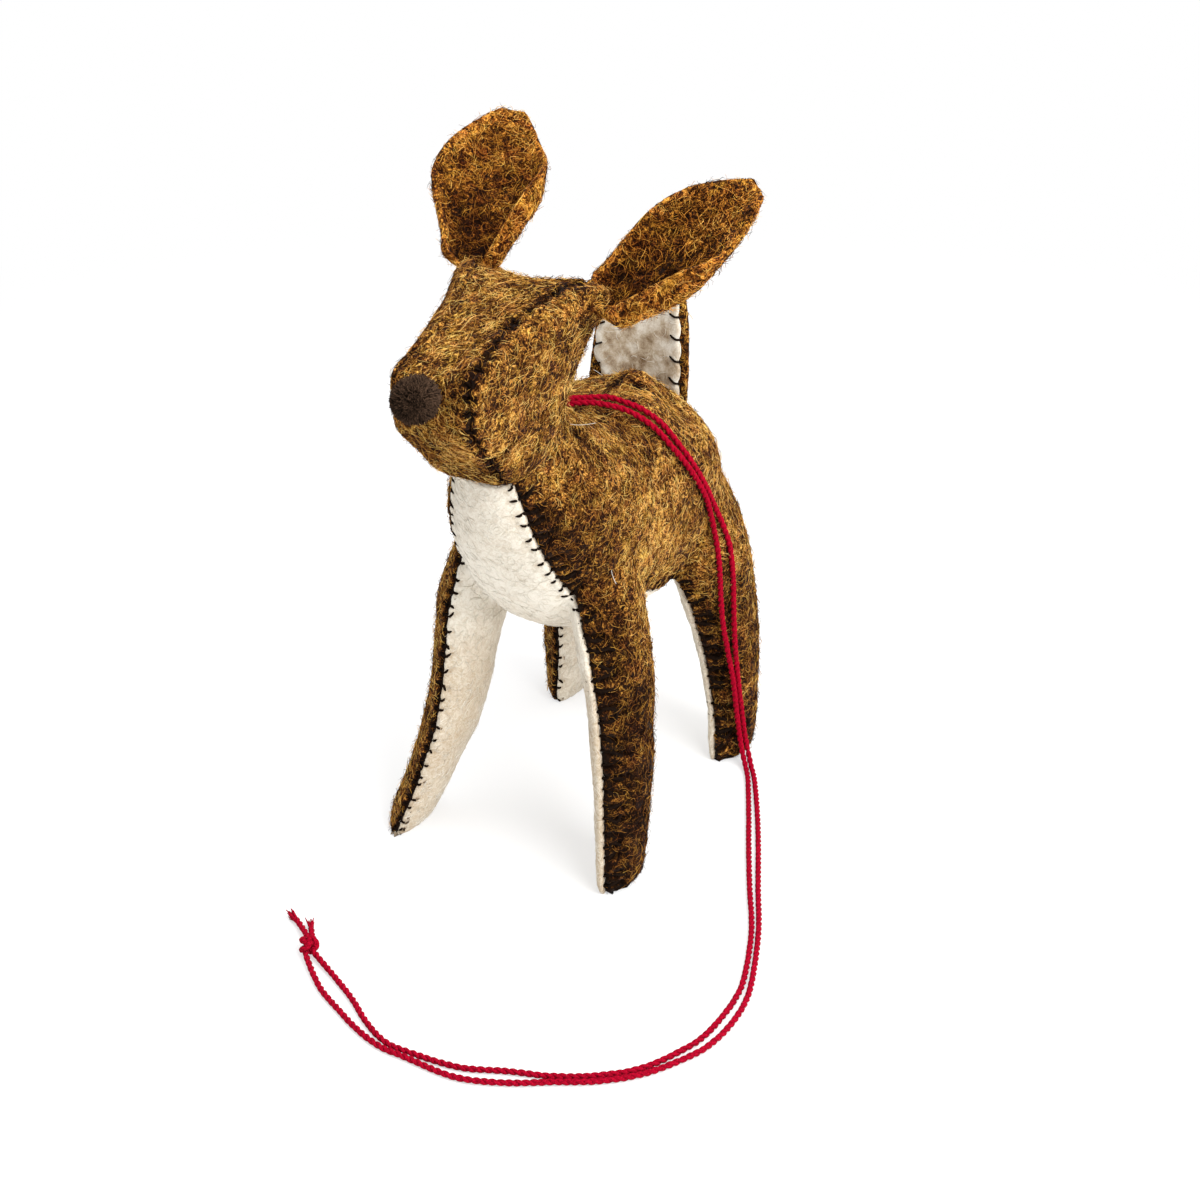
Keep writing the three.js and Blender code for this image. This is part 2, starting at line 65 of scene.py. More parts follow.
# Trunk and neck, from the rump to inside the head: back y and z, belly y and z, half width
TRUNK = [
    (31.2, 54, 30.8, 48, 4), (29.5, 61, 28, 41, 11), (25.5, 66, 23.5, 34.5, 15),
    (18, 68.8, 15.5, 32.6, 16), (10.5, 69.6, 4, 33.6, 15.4), (5.5, 69.4, -8, 37.4, 14.8),
    (2.6, 69.8, -16, 45.5, 14), (-0.6, 71.4, -21, 55.5, 12), (-4, 75.5, -23.5, 63.5, 8.8),
    (-6.5, 80, -24, 70.5, 7.2), (-9, 85, -20, 77, 5.2),
]
# Head, from the nape to the muzzle: y, chin z, crown z, half width at the crown and at the jowl
HEAD = [
    (-0.5, 83, 89, 5, 3.2), (-3, 79, 92.6, 8.2, 4.4), (-7, 74, 95.6, 11.2, 5.2), (-13, 69.5, 96.6, 12, 6.6),
    (-18, 68.5, 95.4, 10.6, 7.6), (-24, 69.5, 93.8, 8.9, 7.6), (-30, 75.5, 92, 7.8, 7),
    (-33.8, 80, 90.6, 6.9, 6.4), (-34.8, 82.5, 89, 5, 4.8),
]
CROWN_DIP = 1.4
HEAD_TILT = 0.11
# Legs, from inside the trunk to the sole: z, x, y, outer and inner half width, half depth
FRONT_LEG = [
    (56, 7.6, -5, 4.6, 4.6, 6), (48, 10.4, -6.2, 5, 5, 7.6), (40, 12.2, -7.4, 5.4, 5, 8.4),
    (30, 13.8, -9.4, 5.3, 3.8, 7.8), (20, 15, -11.6, 5.2, 3.2, 7), (8, 17.2, -15, 4.6, 2.6, 6.2),
    (2, 18.3, -16.2, 4, 2.2, 6), (-0.5, 18.6, -16.4, 2.8, 1.6, 5.4),
]
HIND_LEG = [
    (56, 7.6, 22, 5, 5, 6), (50, 9.8, 23, 6.2, 6, 8.4), (42, 11.5, 24, 7.6, 6.4, 9.6),
    (32, 13.4, 25.6, 7.2, 5, 8.8), (20, 15.2, 26.8, 6.2, 3.6, 7.2), (8, 16.8, 26.4, 5, 2.8, 6),
    (2, 17.3, 25.6, 4.2, 2.4, 5.8), (-0.5, 17.4, 25.4, 3, 1.8, 5.2),
]
# Each leg: its stations, its side, how far its foot is set outwards and backwards, and its knee outwards
LEGS = {
    "front_left": (FRONT_LEG, 1, 0, 0.4, 1.3),
    "front_right": (FRONT_LEG, -1, -0.5, -3.2, -2.2),
    "hind_left": (HIND_LEG, 1, 0.6, -0.4, 0),
    "hind_right": (HIND_LEG, -1, -2.2, 2, 0),
}
LEG_ROOT_Z = 41
ROUND_SECTION = 2.2
BOX_SECTION = 5
EDGE_SHARPNESS = 1.4
# Steps from each station of a form to the next
FORM_STEPS = 6
LEG_STEPS = 5

# Seams: half width by height on the underbody above the legs, and by y on the head gusset
CHEST_SEAM = [(47, 9.8), (57, 7.7), (70, 5)]
CHEST_RIGHT_OUT = 1.6
RUMP_SEAM = [(44, 7), (52, 0), (60, -8)]
GUSSET_SEAM = [
    (-42, 6), (-33.5, 6), (-29, 5.7), (-24, 4.9), (-21, 5), (-17, 6.7), (-12, 7.8), (-8.5, 9.2),
    (-5.5, 7), (-2, 1.2), (4, -6),
]
LEG_SEAM_OUTWARD = {"front_left": 0.9, "front_right": 0.2, "hind_left": 0.2, "hind_right": 0.2}
BELLY_BLEND = (2, 14)
THROAT_Z = 69.6
CHEST_BACK_Y = -9
CHEST_LOW_Z = 52
NAPE_Z = 87
JAW_Y = -14

FELT = 1.2
VOXEL = 0.4
SKIN_ROUNDS = 10
EASE = 0.6
COUNTER_EASE = -0.56
FAR = 1000


def place(points):
    """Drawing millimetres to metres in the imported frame."""
    return (np.asarray(points, float) + SHIFT) * MM


def unit(vectors):
    return vectors / np.maximum(np.linalg.norm(vectors, axis=-1, keepdims=True), 1e-9)


def power(values, exponent):
    return np.sign(values) * np.abs(values) ** exponent


def smoothstep(low, high, values):
    share = np.clip((values - low) / (high - low), 0, 1)
    return share * share * (3 - 2 * share)


def near(distance, reach):
    """1 at no distance, falling softly to 0 beyond the reach."""
    return np.exp(-((distance / reach) ** 2))


def falloff(co, middle, reach):
    """1 at a middle, falling softly to 0 beyond the reach."""
    return np.exp(-np.sum((co - middle) ** 2, axis=1) / reach**2)


def soft_noise(points, layers):
    """The sum of soft noises at points, each with its size and strength."""
    return np.array([sum(noise.noise(Vector(p) / size) * strength for size, strength in layers)
                     for p in points.tolist()])


def grounded(points, least=0):
    """The same points, none of them nearer to the floor than the least height."""
    points = points.copy()
    points[..., 2] = np.maximum(points[..., 2], least)
    return points


def spline(rows, steps):
    """A smooth run through the rows, with the given number of steps from each row to the next."""
    rows = np.asarray(rows, float)
    ends = np.vstack([2 * rows[0] - rows[1], rows, 2 * rows[-1] - rows[-2]])
    out = []
    for a, b, c, d in zip(ends, ends[1:], ends[2:], ends[3:]):
        t = (np.arange(steps) / steps)[:, None]
        square = (2 * a - 5 * b + 4 * c - d) * t**2
        cube = (3 * b - a - 3 * c + d) * t**3
        out.append(0.5 * (2 * b + (c - a) * t + square + cube))
    return np.vstack([*out, rows[-1:]])


def run_along(points):
    """Distance along a line at each of its points."""
    return np.concatenate([[0], np.cumsum(np.linalg.norm(np.diff(points, axis=0), axis=1))])


def points_at(marks, run, points):
    """Points of a line at distances along it."""
    return np.stack([np.interp(marks, run, points[:, i]) for i in range(3)], axis=1)


def resample(points, step):
    """The same line with points a step apart."""
    run = run_along(points)
    marks = np.linspace(0, run[-1], max(2, int(round(run[-1] / step)) + 1))
    return points_at(marks, run, points)


def crosswise(line):
    """Two directions across a line at each of its points, carried along it without a twist."""
    along = unit(np.gradient(line, axis=0))
    guide = np.eye(3)[np.argmin(np.abs(along[0]))]
    side = np.zeros_like(line)
    for i, t in enumerate(along):
        guide = unit(guide - t * guide.dot(t))
        side[i] = guide
    return side, np.cross(along, side)


def rings_round(line, side, up, radius, turn):
    """Rings of points round a line, by turns from one direction across it to the other."""
    ring = np.cos(turn)[:, None] * side[..., None, :] + np.sin(turn)[:, None] * up[..., None, :]
    return line[..., None, :] + radius[..., None, None] * ring


def merged(parts):
    """Several sets of points and faces as one."""
    points, faces, start = [], [], 0
    for p, f in parts:
        points.append(p)
        faces += [tuple(i + start for i in face) for face in f]
        start += len(p)
    return np.vstack(points), faces


def linked(name, data):
    obj = bpy.data.objects.new(name, data)
    bpy.context.scene.collection.objects.link(obj)
    return obj


def new_object(name, points, faces, material=None):
    """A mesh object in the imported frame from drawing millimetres."""
    mesh = bpy.data.meshes.new(name)
    mesh.from_pydata(place(points).tolist(), [], [list(f) for f in faces])
    mesh.polygons.foreach_set("use_smooth", np.full(len(mesh.polygons), True))
    mesh.update()
    if material:
        mesh.materials.append(material)
    return linked(name, mesh)


def add_values(obj, name, values):
    """A value for each point of an object, which its material reads by name."""
    layer = obj.data.attributes.new(name, "FLOAT", "POINT")
    layer.data.foreach_set("value", np.asarray(values, np.float32))


def add_piece(name, points, faces, material, body, slot, *nodes):
    """A piece that rides on a body and replaces the nodes that are named; its slot is not used."""
    piece = new_object(name, points, faces, material)
    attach(piece, body)
    if nodes:
        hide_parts(*nodes)
    return piece


def loft(rings):
    """Closed faces over rings of points, with a fan at each end."""
    rings = np.asarray(rings, float)
    count, sides = rings.shape[:2]
    points = np.vstack([rings.reshape(-1, 3), rings[0].mean(0), rings[-1].mean(0)])
    faces = []
    for side in range(sides):
        after = (side + 1) % sides
        faces.append((count * sides, after, side))
        faces.append((count * sides + 1, (count - 1) * sides + side, (count - 1) * sides + after))
        for row in range(count - 1):
            a, b = row * sides, (row + 1) * sides
            faces.append((a + side, a + after, b + after, b + side))
    return points, faces


# Stuffed forms


def turns(sides):
    return 2 * np.pi * (np.arange(sides) + 0.5) / sides


def trunk_rings(sides=72):
    turn = turns(sides)
    rings = []
    for back_y, back_z, belly_y, belly_z, half in spline(TRUNK, FORM_STEPS):
        up = power(np.sin(turn), 2 / ROUND_SECTION)
        x = half * power(np.cos(turn), 2 / ROUND_SECTION)
        y = (back_y + belly_y) / 2 + (back_y - belly_y) / 2 * up
        z = (back_z + belly_z) / 2 + (back_z - belly_z) / 2 * up
        rings.append(np.stack([x, y, z], axis=1))
    return rings


def head_rings(sides=96):
    turn = turns(sides)
    rings = []
    for y, chin, crown, crown_half, jowl_half in spline(HEAD, FORM_STEPS):
        across = power(np.cos(turn), 2 / BOX_SECTION)
        up = power(np.sin(turn), 2 / BOX_SECTION)
        half = jowl_half + (crown_half - jowl_half) * (up + 1) / 2
        dip = CROWN_DIP * np.maximum(up, 0) * (1 - across**2)
        z = (chin + crown) / 2 + (crown - chin) / 2 * up - dip
        x = half * across
        rings.append(np.stack([x, np.full(sides, y), z + HEAD_TILT * x], axis=1))
    return rings


def stance(z, out, knee):
    """How far a leg is set outwards at a height, and the share of its foot's setting there."""
    share = np.clip(1 - z / LEG_ROOT_Z, 0, 1)
    return out * share + knee * 4 * share * (1 - share), share


def leg_rings(stations, hand, out, back, knee, sides=48):
    turn = turns(sides)
    rings = []
    for z, x, y, outer, inner, half_depth in spline(stations, LEG_STEPS):
        outwards, share = stance(z, out, knee)
        across = power(np.sin(turn), EDGE_SHARPNESS)
        reach = np.where(across > 0, outer, inner) * across
        px = hand * (x + outwards + reach)
        py = y + back * share + half_depth * np.cos(turn)
        rings.append(np.stack([px, py, np.full(sides, z)], axis=1))
    return rings


def remeshed(parts, voxel):
    """One closed skin over overlapping closed forms, as points and triangles in drawing millimetres."""
    points, faces = merged(parts)
    mesh = bpy.data.meshes.new("forms")
    mesh.from_pydata(points.tolist(), [], faces)
    obj = linked("forms", mesh)
    fair = obj.modifiers.new("remesh", "REMESH")
    fair.mode = "VOXEL"
    fair.voxel_size = voxel
    evaluated = obj.evaluated_get(bpy.context.evaluated_depsgraph_get())
    result = evaluated.to_mesh()
    co = np.empty(len(result.vertices) * 3)
    result.vertices.foreach_get("co", co)
    result.calc_loop_triangles()
    tri = np.empty(len(result.loop_triangles) * 3, int)
    result.loop_triangles.foreach_get("vertices", tri)
    evaluated.to_mesh_clear()
    bpy.data.objects.remove(obj)
    bpy.data.meshes.remove(mesh)
    co, tri = co.reshape(-1, 3), tri.reshape(-1, 3)
    a, b, c = corners_of(co, tri)
    if np.einsum("ij,ij->i", a, np.cross(b, c)).sum() < 0:
        tri = tri[:, ::-1]
    return co, tri


def corners_of(co, tri):
    return (co[tri[:, i]] for i in range(3))


def half_edges(tri):
    return np.vstack([tri[:, [0, 1]], tri[:, [1, 2]], tri[:, [2, 0]]])


def rim_of(tri, count):
    """The half edges that no second triangle shares, and their places among all half edges."""
    half = half_edges(tri)
    key = half.min(1) * count + half.max(1)
    _, index, times = np.unique(key, return_index=True, return_counts=True)
    rim = index[times == 1]
    return half[rim], rim


def smoothed(co, tri, rounds):
    """Points eased towards their neighbours, with a counter-step that keeps the volume."""
    edges = np.unique(np.sort(half_edges(tri), axis=1), axis=0)
    ends = np.concatenate([edges[:, 0], edges[:, 1]])
    others = np.concatenate([edges[:, 1], edges[:, 0]])
    degree = np.bincount(ends, minlength=len(co))[:, None]
    for _ in range(rounds):
        for ease in (EASE, COUNTER_EASE):
            sums = [np.bincount(ends, co[others, i], len(co)) for i in range(3)]
            co = co + ease * (np.stack(sums, axis=1) / degree - co)
    return co


def normals_of(co, tri):
    a, b, c = corners_of(co, tri)
    face = np.cross(b - a, c - a)
    sums = [sum(np.bincount(tri[:, k], face[:, i], len(co)) for k in range(3)) for i in range(3)]
    return unit(np.stack(sums, axis=1))


# Seams


def underbody_field(co):
    """More than zero on the cream underbody: the distance inside its seam, about in millimetres."""
    x, y, z = co.T

    def half_width(name, upper):
        stations, _, out, _, knee = LEGS[name]
        outward = LEG_SEAM_OUTWARD[name]
        low = [(s[0], s[1] + stance(s[0], out, knee)[0] + outward) for s in stations if s[0] < LEG_ROOT_Z]
        line = np.array(low[::-1] + upper)
        return np.interp(z, line[:, 0], line[:, 1])

    chest_right = [(height, half + CHEST_RIGHT_OUT) for height, half in CHEST_SEAM]
    above = {
        "front_left": CHEST_SEAM, "front_right": chest_right,
        "hind_left": RUMP_SEAM, "hind_right": RUMP_SEAM,
    }
    seam = {name: half_width(name, upper) for name, upper in above.items()}
    front = np.where(x > 0, seam["front_left"], seam["front_right"])
    hind = np.where(x > 0, seam["hind_left"], seam["hind_right"])
    share = smoothstep(*BELLY_BLEND, y)
    inside = front + (hind - front) * share - np.abs(x)
    chest = np.where(y < BELLY_BLEND[1], np.maximum(CHEST_LOW_Z - z, CHEST_BACK_Y - y), FAR)
    return np.minimum(np.minimum(inside, chest), THROAT_Z - z)


def gusset_field(co):
    x, y, z = co.T
    line = np.array(GUSSET_SEAM)
    floor = np.where(y < JAW_Y, z - THROAT_Z, z - NAPE_Z)
    return np.minimum(np.interp(y, line[:, 0], line[:, 1]) - np.abs(x), floor)


def split(co, tri, tag, field_of, within, inside_tag, snap=0.07):
    """Cuts the triangles that have one tag along a field's zero line and gives those inside a new tag."""
    field = field_of(co)
    field[np.abs(field) < snap] = 0
    chosen = tag == within
    side = np.sign(field)[tri]
    mixed = chosen & (side.max(1) > 0) & (side.min(1) < 0)
    inside = chosen & ~mixed & (side.sum(1) > 0)
    tag = np.where(inside, inside_tag, tag)
    points, made, cut_tri, cut_tag = [], {}, [], []

    def crossing(a, b):
        key = (min(a, b), max(a, b))
        if key not in made:
            share = field[key[0]] / (field[key[0]] - field[key[1]])
            made[key] = len(co) + len(points)
            points.append(co[key[0]] + share * (co[key[1]] - co[key[0]]))
        return made[key]

    for corners in tri[mixed].tolist():
        for sign, label in ((1, inside_tag), (-1, within)):
            loop = []
            for a, b in zip(corners, corners[1:] + corners[:1]):
                if field[a] * sign >= 0:
                    loop.append(a)
                if field[a] * field[b] < 0:
                    loop.append(crossing(a, b))
            for i in range(1, len(loop) - 1):
                cut_tri.append((loop[0], loop[i], loop[i + 1]))
                cut_tag.append(label)
    if not points:
        return co, tri, tag
    return (np.vstack([co, points]), np.vstack([tri[~mixed], cut_tri]),
            np.concatenate([tag[~mixed], cut_tag]))


def chains(edges):
    """Joins edges into lines of vertex numbers, the longest first."""
    links = {}
    for a, b in edges:
        links.setdefault(a, []).append(b)
        links.setdefault(b, []).append(a)
    lines = []
    starts = [v for v, others in links.items() if len(others) != 2] + list(links)
    for start in starts:
        while links.get(start):
            line = [start]
            while links.get(line[-1]):
                after = links[line[-1]].pop()
                links[after].remove(line[-1])
                line.append(after)
                if len(links[after]) != 1:
                    break
            lines.append(line)
    return sorted(lines, key=len, reverse=True)


def seam_lines(tri, tag):
    """Lines of vertices between panels, by the pair of their tags."""
    pairs = {}
    for (a, b), label in zip(np.sort(half_edges(tri), axis=1).tolist(), np.tile(tag, 3).tolist()):
        pairs.setdefault((a, b), []).append(label)
    groups = {}
    for edge, labels in pairs.items():
        if len(labels) == 2 and labels[0] != labels[1]:
            groups.setdefault(tuple(sorted(labels)), []).append(edge)
    return {pair: chains(edges) for pair, edges in groups.items()}


# Each panel's estimated size before sewing in metres, its area, and the number of its fibres
PANELS = {
    "side_panel_right": ((0.090, 0.105), 0.0056, 20000),
    "side_panel_left": ((0.090, 0.105), 0.0056, 20000),
    "underbody_panel": ((0.075, 0.115), 0.0054, 4500),
    "head_gusset": ((0.022, 0.062), 0.00098, 4200),
}
RIGHT, LEFT, UNDER, GUSSET = range(4)


def make_skin():
    forms = [loft(trunk_rings()), loft(head_rings())]
    forms += [loft(leg_rings(*leg)) for leg in LEGS.values()]
    co, tri = remeshed(forms, VOXEL)
    co = peaked(smoothed(co, tri, SKIN_ROUNDS), tri)
    normals = normals_of(co, tri)
    for middle, reach, lift in SKIN_LIFTS:
        co = co + normals * (lift * falloff(co, middle, reach))[:, None]
    tag = np.full(len(tri), RIGHT)
    co, tri, tag = split(co, tri, tag, underbody_field, RIGHT, UNDER)
    co, tri, tag = split(co, tri, tag, gusset_field, RIGHT, GUSSET)
    co, tri, tag = split(co, tri, tag, lambda p: p[:, 0].copy(), RIGHT, LEFT)
    return co, tri, tag


# Node materials

HUE_SCALE = 0.5
STRAND_BANDS = 8
# Weight of the clumps in a felt's value, and the middle of the weighted sum that is taken off again
CLUMP_WEIGHT = 0.6
MIDDLE_WEIGHT = 0.8
# How much more red, green and blue the ears' browns have
WARMTH = (1.1, 0.95, 0.72)
# The clumps that felt and its fibres share
CLUMPS = {"scale": 0.25, "detail": 3, "roughness": 0.62}


class Graph:
    """A material's node tree, with a short way to add and link nodes."""

    def __init__(self, name, roughness, sheen=0.0, specular=0.05):
        self.material = bpy.data.materials.new(name)
        self.material.use_nodes = True
        self.tree = self.material.node_tree
        self.shader = self.tree.nodes["Principled BSDF"]
        self.shader.inputs["Roughness"].default_value = roughness
        self.shader.inputs["Specular IOR Level"].default_value = specular
        self.shader.inputs["Sheen Weight"].default_value = sheen
        self.shader.inputs["Sheen Roughness"].default_value = 0.5

    def add(self, kind, inputs=None, **settings):
        node = self.tree.nodes.new(kind)
        for key, value in settings.items():
            setattr(node, key, value)
        for key, value in (inputs or {}).items():
            if isinstance(value, bpy.types.NodeSocket):
                self.tree.links.new(value, node.inputs[key])
            else:
                node.inputs[key].default_value = value
        return node.outputs

    def math(self, operation, a, b):
        return self.add("ShaderNodeMath", {0: a, 1: b}, operation=operation)[0]

    def noise(self, where, scale, detail=2, roughness=0.5, distortion=0.0):
        inputs = {"Vector": where, "Scale": scale, "Detail": detail, "Roughness": roughness,
                  "Distortion": distortion}
        return self.add("ShaderNodeTexNoise", inputs)

    def millimetres(self):
        where = self.add("ShaderNodeTexCoord")["Object"]
        return self.add("ShaderNodeMapping", {"Vector": where, "Scale": (1 / MM, 1 / MM, 1 / MM)})[0]

    def ramp(self, value, stops):
        outputs = self.add("ShaderNodeValToRGB", {"Fac": value})
        elements = outputs[0].node.color_ramp.elements
        while len(elements) < len(stops):
            elements.new(0.5)
        for element, (position, colour) in zip(elements, stops):
            element.position = position
            element.color = (*colour, 1)
        return outputs[0]

    def tinted(self, colour, where, spread):
        """The colour turned a little towards red or yellow from place to place."""
        hue = self.math("MULTIPLY_ADD", self.noise(where, HUE_SCALE, roughness=0.6)[0], spread)
        hue.node.inputs[2].default_value = 0.5 - spread / 2
        return self.add("ShaderNodeHueSaturation", {"Color": colour, "Hue": hue})[0]

    def finish(self, colour, height=None, strength=0.0, distance=0.0):
        self.tree.links.new(colour, self.shader.inputs["Base Color"])
        if height is not None:
            inputs = {"Height": height, "Strength": strength, "Distance": distance * MM}
            self.tree.links.new(self.add("ShaderNodeBump", inputs)[0], self.shader.inputs["Normal"])
        return self.material


def curls(graph, where, scale, offset):
    """Curly strands: the bands between the contour lines of a soft noise, from 0 to 1 across each."""
    inputs = {0: where, 1: (offset, 2 * offset, 3 * offset)}
    moved = graph.add("ShaderNodeVectorMath", inputs, operation="ADD")[0]
    hills = graph.noise(moved, scale, detail=1.5, distortion=0.6)[0]
    return graph.math("PINGPONG", graph.math("MULTIPLY", hills, STRAND_BANDS), 1)


def mixed_values(graph, parts, start=0.0):
    """The weighted sum of values."""
    total = start
    for value, weight in parts:
        step = graph.math("MULTIPLY_ADD", value, weight)
        if isinstance(total, float):
            step.node.inputs[2].default_value = total
        else:
            graph.tree.links.new(total, step.node.inputs[2])
        total = step
    return total


def felt_material(name, stops, sheen, relief, contrast, shade_share, hue_spread, depth=0.5):
    graph = Graph(name, roughness=0.98, sheen=sheen)
    where = graph.millimetres()
    broad = curls(graph, where, scale=0.75, offset=11)
    fine = curls(graph, where, scale=1.4, offset=37)
    specks = graph.noise(where, scale=5, roughness=0.6)[0]
    clumps = graph.noise(where, **CLUMPS)[0]
    shade = graph.add("ShaderNodeAttribute", attribute_name="shade")["Fac"]
    strands = mixed_values(graph, [(broad, 0.35), (fine, 0.35), (specks, 0.6)], start=-0.15)
    parts = [(strands, contrast), (clumps, CLUMP_WEIGHT * contrast), (shade, -shade_share)]
    value = mixed_values(graph, parts, start=depth - MIDDLE_WEIGHT * contrast)
    colour = graph.tinted(graph.ramp(value, stops), where, hue_spread)
    return graph.finish(colour, strands, strength=relief, distance=0.2)


def fibre_material(name, stops, hue_spread=0.0):
    graph = Graph(name, roughness=0.95)
    where = graph.millimetres()
    tone = graph.add("ShaderNodeAttribute", attribute_name="tone")["Fac"]
    clumps = graph.noise(where, **CLUMPS)[0]
    value = mixed_values(graph, [(clumps, 0.9), (tone, 1.0)], start=-0.45)
    return graph.finish(graph.tinted(graph.ramp(value, stops), where, hue_spread))


def thread_material(name, dark, light, scale=2.5):
    graph = Graph(name, roughness=0.95)
    strands = graph.noise(graph.millimetres(), scale, detail=3, roughness=0.6)[0]
    colour = graph.ramp(strands, [(0.3, dark), (0.7, light)])
    return graph.finish(colour, strands, strength=0.4, distance=0.08)


def warmer(stops):
    """The same browns, a little more orange."""
    return [(position, tuple(np.multiply(WARMTH, colour))) for position, colour in stops]


BROWNS = [
    (0.16, (0.008, 0.003, 0.001)), (0.36, (0.058, 0.019, 0.004)),
    (0.52, (0.20, 0.077, 0.012)), (0.68, (0.46, 0.205, 0.034)), (0.86, (0.74, 0.41, 0.092)),
]
FIBRE_BROWNS = [
    (0.06, (0.007, 0.0025, 0.0008)), (0.30, (0.062, 0.021, 0.0045)),
    (0.54, (0.255, 0.10, 0.017)), (0.78, (0.62, 0.30, 0.053)), (1.0, (0.86, 0.56, 0.17)),
]
CREAMS = [
    (0.02, (0.20, 0.125, 0.065)), (0.25, (0.47, 0.38, 0.27)),
    (0.5, (0.73, 0.68, 0.585)), (0.75, (0.81, 0.775, 0.695)),
]
FIBRE_CREAMS = [(0.0, (0.62, 0.56, 0.46)), (0.3, (0.72, 0.67, 0.575)), (0.9, (0.83, 0.80, 0.725))]
WHITES = [(0.3, (0.70, 0.69, 0.66)), (0.7, (0.90, 0.89, 0.87))]
NOSE_BROWNS = [(0.1, (0.014, 0.008, 0.005)), (0.9, (0.090, 0.052, 0.032))]
BROWN_FELT = felt_material("brown_felt", BROWNS, sheen=0.05, relief=0.5, contrast=1.2,
                           shade_share=0.7, hue_spread=0.05, depth=0.44)
EAR_FELT = felt_material("ear_felt", warmer(BROWNS), sheen=0.05, relief=0.5, contrast=1.1,
                         shade_share=0.7, hue_spread=0.05, depth=0.46)
CREAM_FELT = felt_material("cream_felt", CREAMS, sheen=0.1, relief=0.1, contrast=0.26,
                           shade_share=0.55, hue_spread=0.01)
BROWN_FIBRE = fibre_material("brown_fibre", FIBRE_BROWNS, 0.05)
EAR_FIBRE = fibre_material("ear_fibre", warmer(FIBRE_BROWNS), 0.05)
CREAM_FIBRE = fibre_material("cream_fibre", FIBRE_CREAMS, 0.01)
STUFFING = felt_material("stuffing", WHITES, sheen=0.0, relief=0.3, contrast=0.6,
                         shade_share=0.0, hue_spread=0.0)
NOSE_FIBRE = fibre_material("nose_fibre", NOSE_BROWNS)
THREAD = thread_material("stitch_thread", (0.003, 0.0016, 0.001), (0.014, 0.007, 0.004))
CORD_RED = thread_material("red_cord", (0.13, 0.0006, 0.007), (0.45, 0.002, 0.022), 4)

# Each felt: its materials and slot, how far its fibres stand off, and how much shade darkens them
Felt = namedtuple("Felt", "material fibre slot lift darkening")
BROWN = Felt(BROWN_FELT, BROWN_FIBRE, "brown_felt", 0.09, 0.9)
EAR = Felt(EAR_FELT, EAR_FIBRE, "brown_felt", 0.11, 0.9)
CREAM = Felt(CREAM_FELT, CREAM_FIBRE, "cream_felt", 0.03, 0.4)

# Felt panels and their stitches

joints = {joint["child"]: joint for joint in frame["joints"]}
EAR_ROOTS = {node: np.array(joints[node]["pos_m"]) / MM - SHIFT for node in ("ear_left", "ear_right")}
PEAK_PULL = 0.95
PEAK_REACH = 3.6
LIP = 0.35
LIP_REACH = 1.0
GROOVE = 0.75
GROOVE_REACH = 0.35
DENT = 0.75
DENT_REACH = 0.5
SHADE_REACH = 0.46
SEAM_SHADE_REACH = 0.5
# Painted shade and dirt down the legs, brown and cream; painted shade at the brown's left front; darker up
# the cream's chest; the hind legs' share of the darkening down the legs
LEG_SHADE = 0.39
CREAM_LEG_SHADE = 0.36
FRONT_SHADE = 0.24
CHEST_SHADE = 0.1
HIND_LEG_SHADE_SHARE = 0.5
# Where the painted shade and dirt fade out: backwards, up the legs, down the chest, up the neck, and towards
# the right side
FRONT_FADE_Y = (-14, -2)
LEG_FADE_Z = (26, 46)
CHEST_FADE_Z = (48, 60)
NECK_FADE_Z = (58, 72)
LEFT_FADE_X = (-4, 4)
# Places where the brown felt is painted darker or paler than the rest, as painted shade beside the cord and
# painted highlights on the flank and muzzle: middle, reach and shade
PAINTED_LIGHT_PLACES = [
    ((13.5, 3, 51), 9, -0.17), ((15.5, 13, 52), 5, 0.16), ((9, 6, 67), 5, 0.14), ((10, -17, 57), 6, 0.08),
    ((2, -33, 78.5), 5, -0.32), ((3, -14, 95), 8, 0.13),
]
# The middles of the deep pits in the felt
PITS = np.array([(3.2, 17.9, 68.7), (7.6, -8.1, 72.6)])
PIT_DEPTH = 1.5
PIT_REACH = 0.9
# Where the skin stands further out, or in, than its forms: middle, reach and lift
SKIN_LIFTS = [
    ((1.5, 21, 68), 3.4, 1.4), ((8, 21, 66), 4.5, -1.0), ((-2, 13, 69.2), 4.5, -1.2),
    ((7, -6, 78), 5.5, -1.5),
]
# Soft noises, each with its size and strength: lumps in the skin, and patches along the seams
SKIN_LUMPS = [(7, 0.3), (2.4, 0.12)]
SEAM_PATCHES = [(2.2, 1.3)]
SEAM_SHADE = 0.45
PLAIN_SEAM_SHADE = 0.2
PIT_SHADE = 1.6
CREAM_FLATNESS = 0.75
SEAM_BLEND = 0.3
SEAM_OPENING = 0.07
STITCH_PITCH = 2.35
STITCH_JITTER = 0.45
FINE_THREAD_RADIUS = 0.17
SHORTEST_SEAM = 20
# How far a stitch looks along the seam for its direction, and beside it for its first panel
TANGENT_REACH = 0.8
PROBE = 1.0
STITCH_LEAN = 0.35
THREAD_STEPS = 2
STITCH_SEED = 5
# How far a stitch reaches into each of the two panels that a seam joins
BITES = {
    (RIGHT, UNDER): (0.5, 2.0), (LEFT, UNDER): (2.4, 1.7), (LEFT, GUSSET): (0.7, 0.6),
}
LEFT_LEG_BITES = (3.8, 0.1)
LEG_TOP_Z = 45
# From the least to the most share of the two bites
BITE_SHARES = ((0.6, 0.8), (1.2, 1.2))
# Place of the seam among a stitch's points, and the points next to it: a distance, and a share of the bite
SEAM_POINT = 4
NEAREST_REACH = 0.4
NEAREST_SHARE = 0.4
POINTS_BEYOND = 3
# A stitch whose second bite is shorter than this goes down to this height there
ONE_SIDED_REACH = 0.2
ONE_SIDED_HEIGHT = -0.6
# The thread along a seam from one stitch to the next
LINK_RADIUS = 0.22
LINK_SINK = 0.25
LINK_POINTS = 5
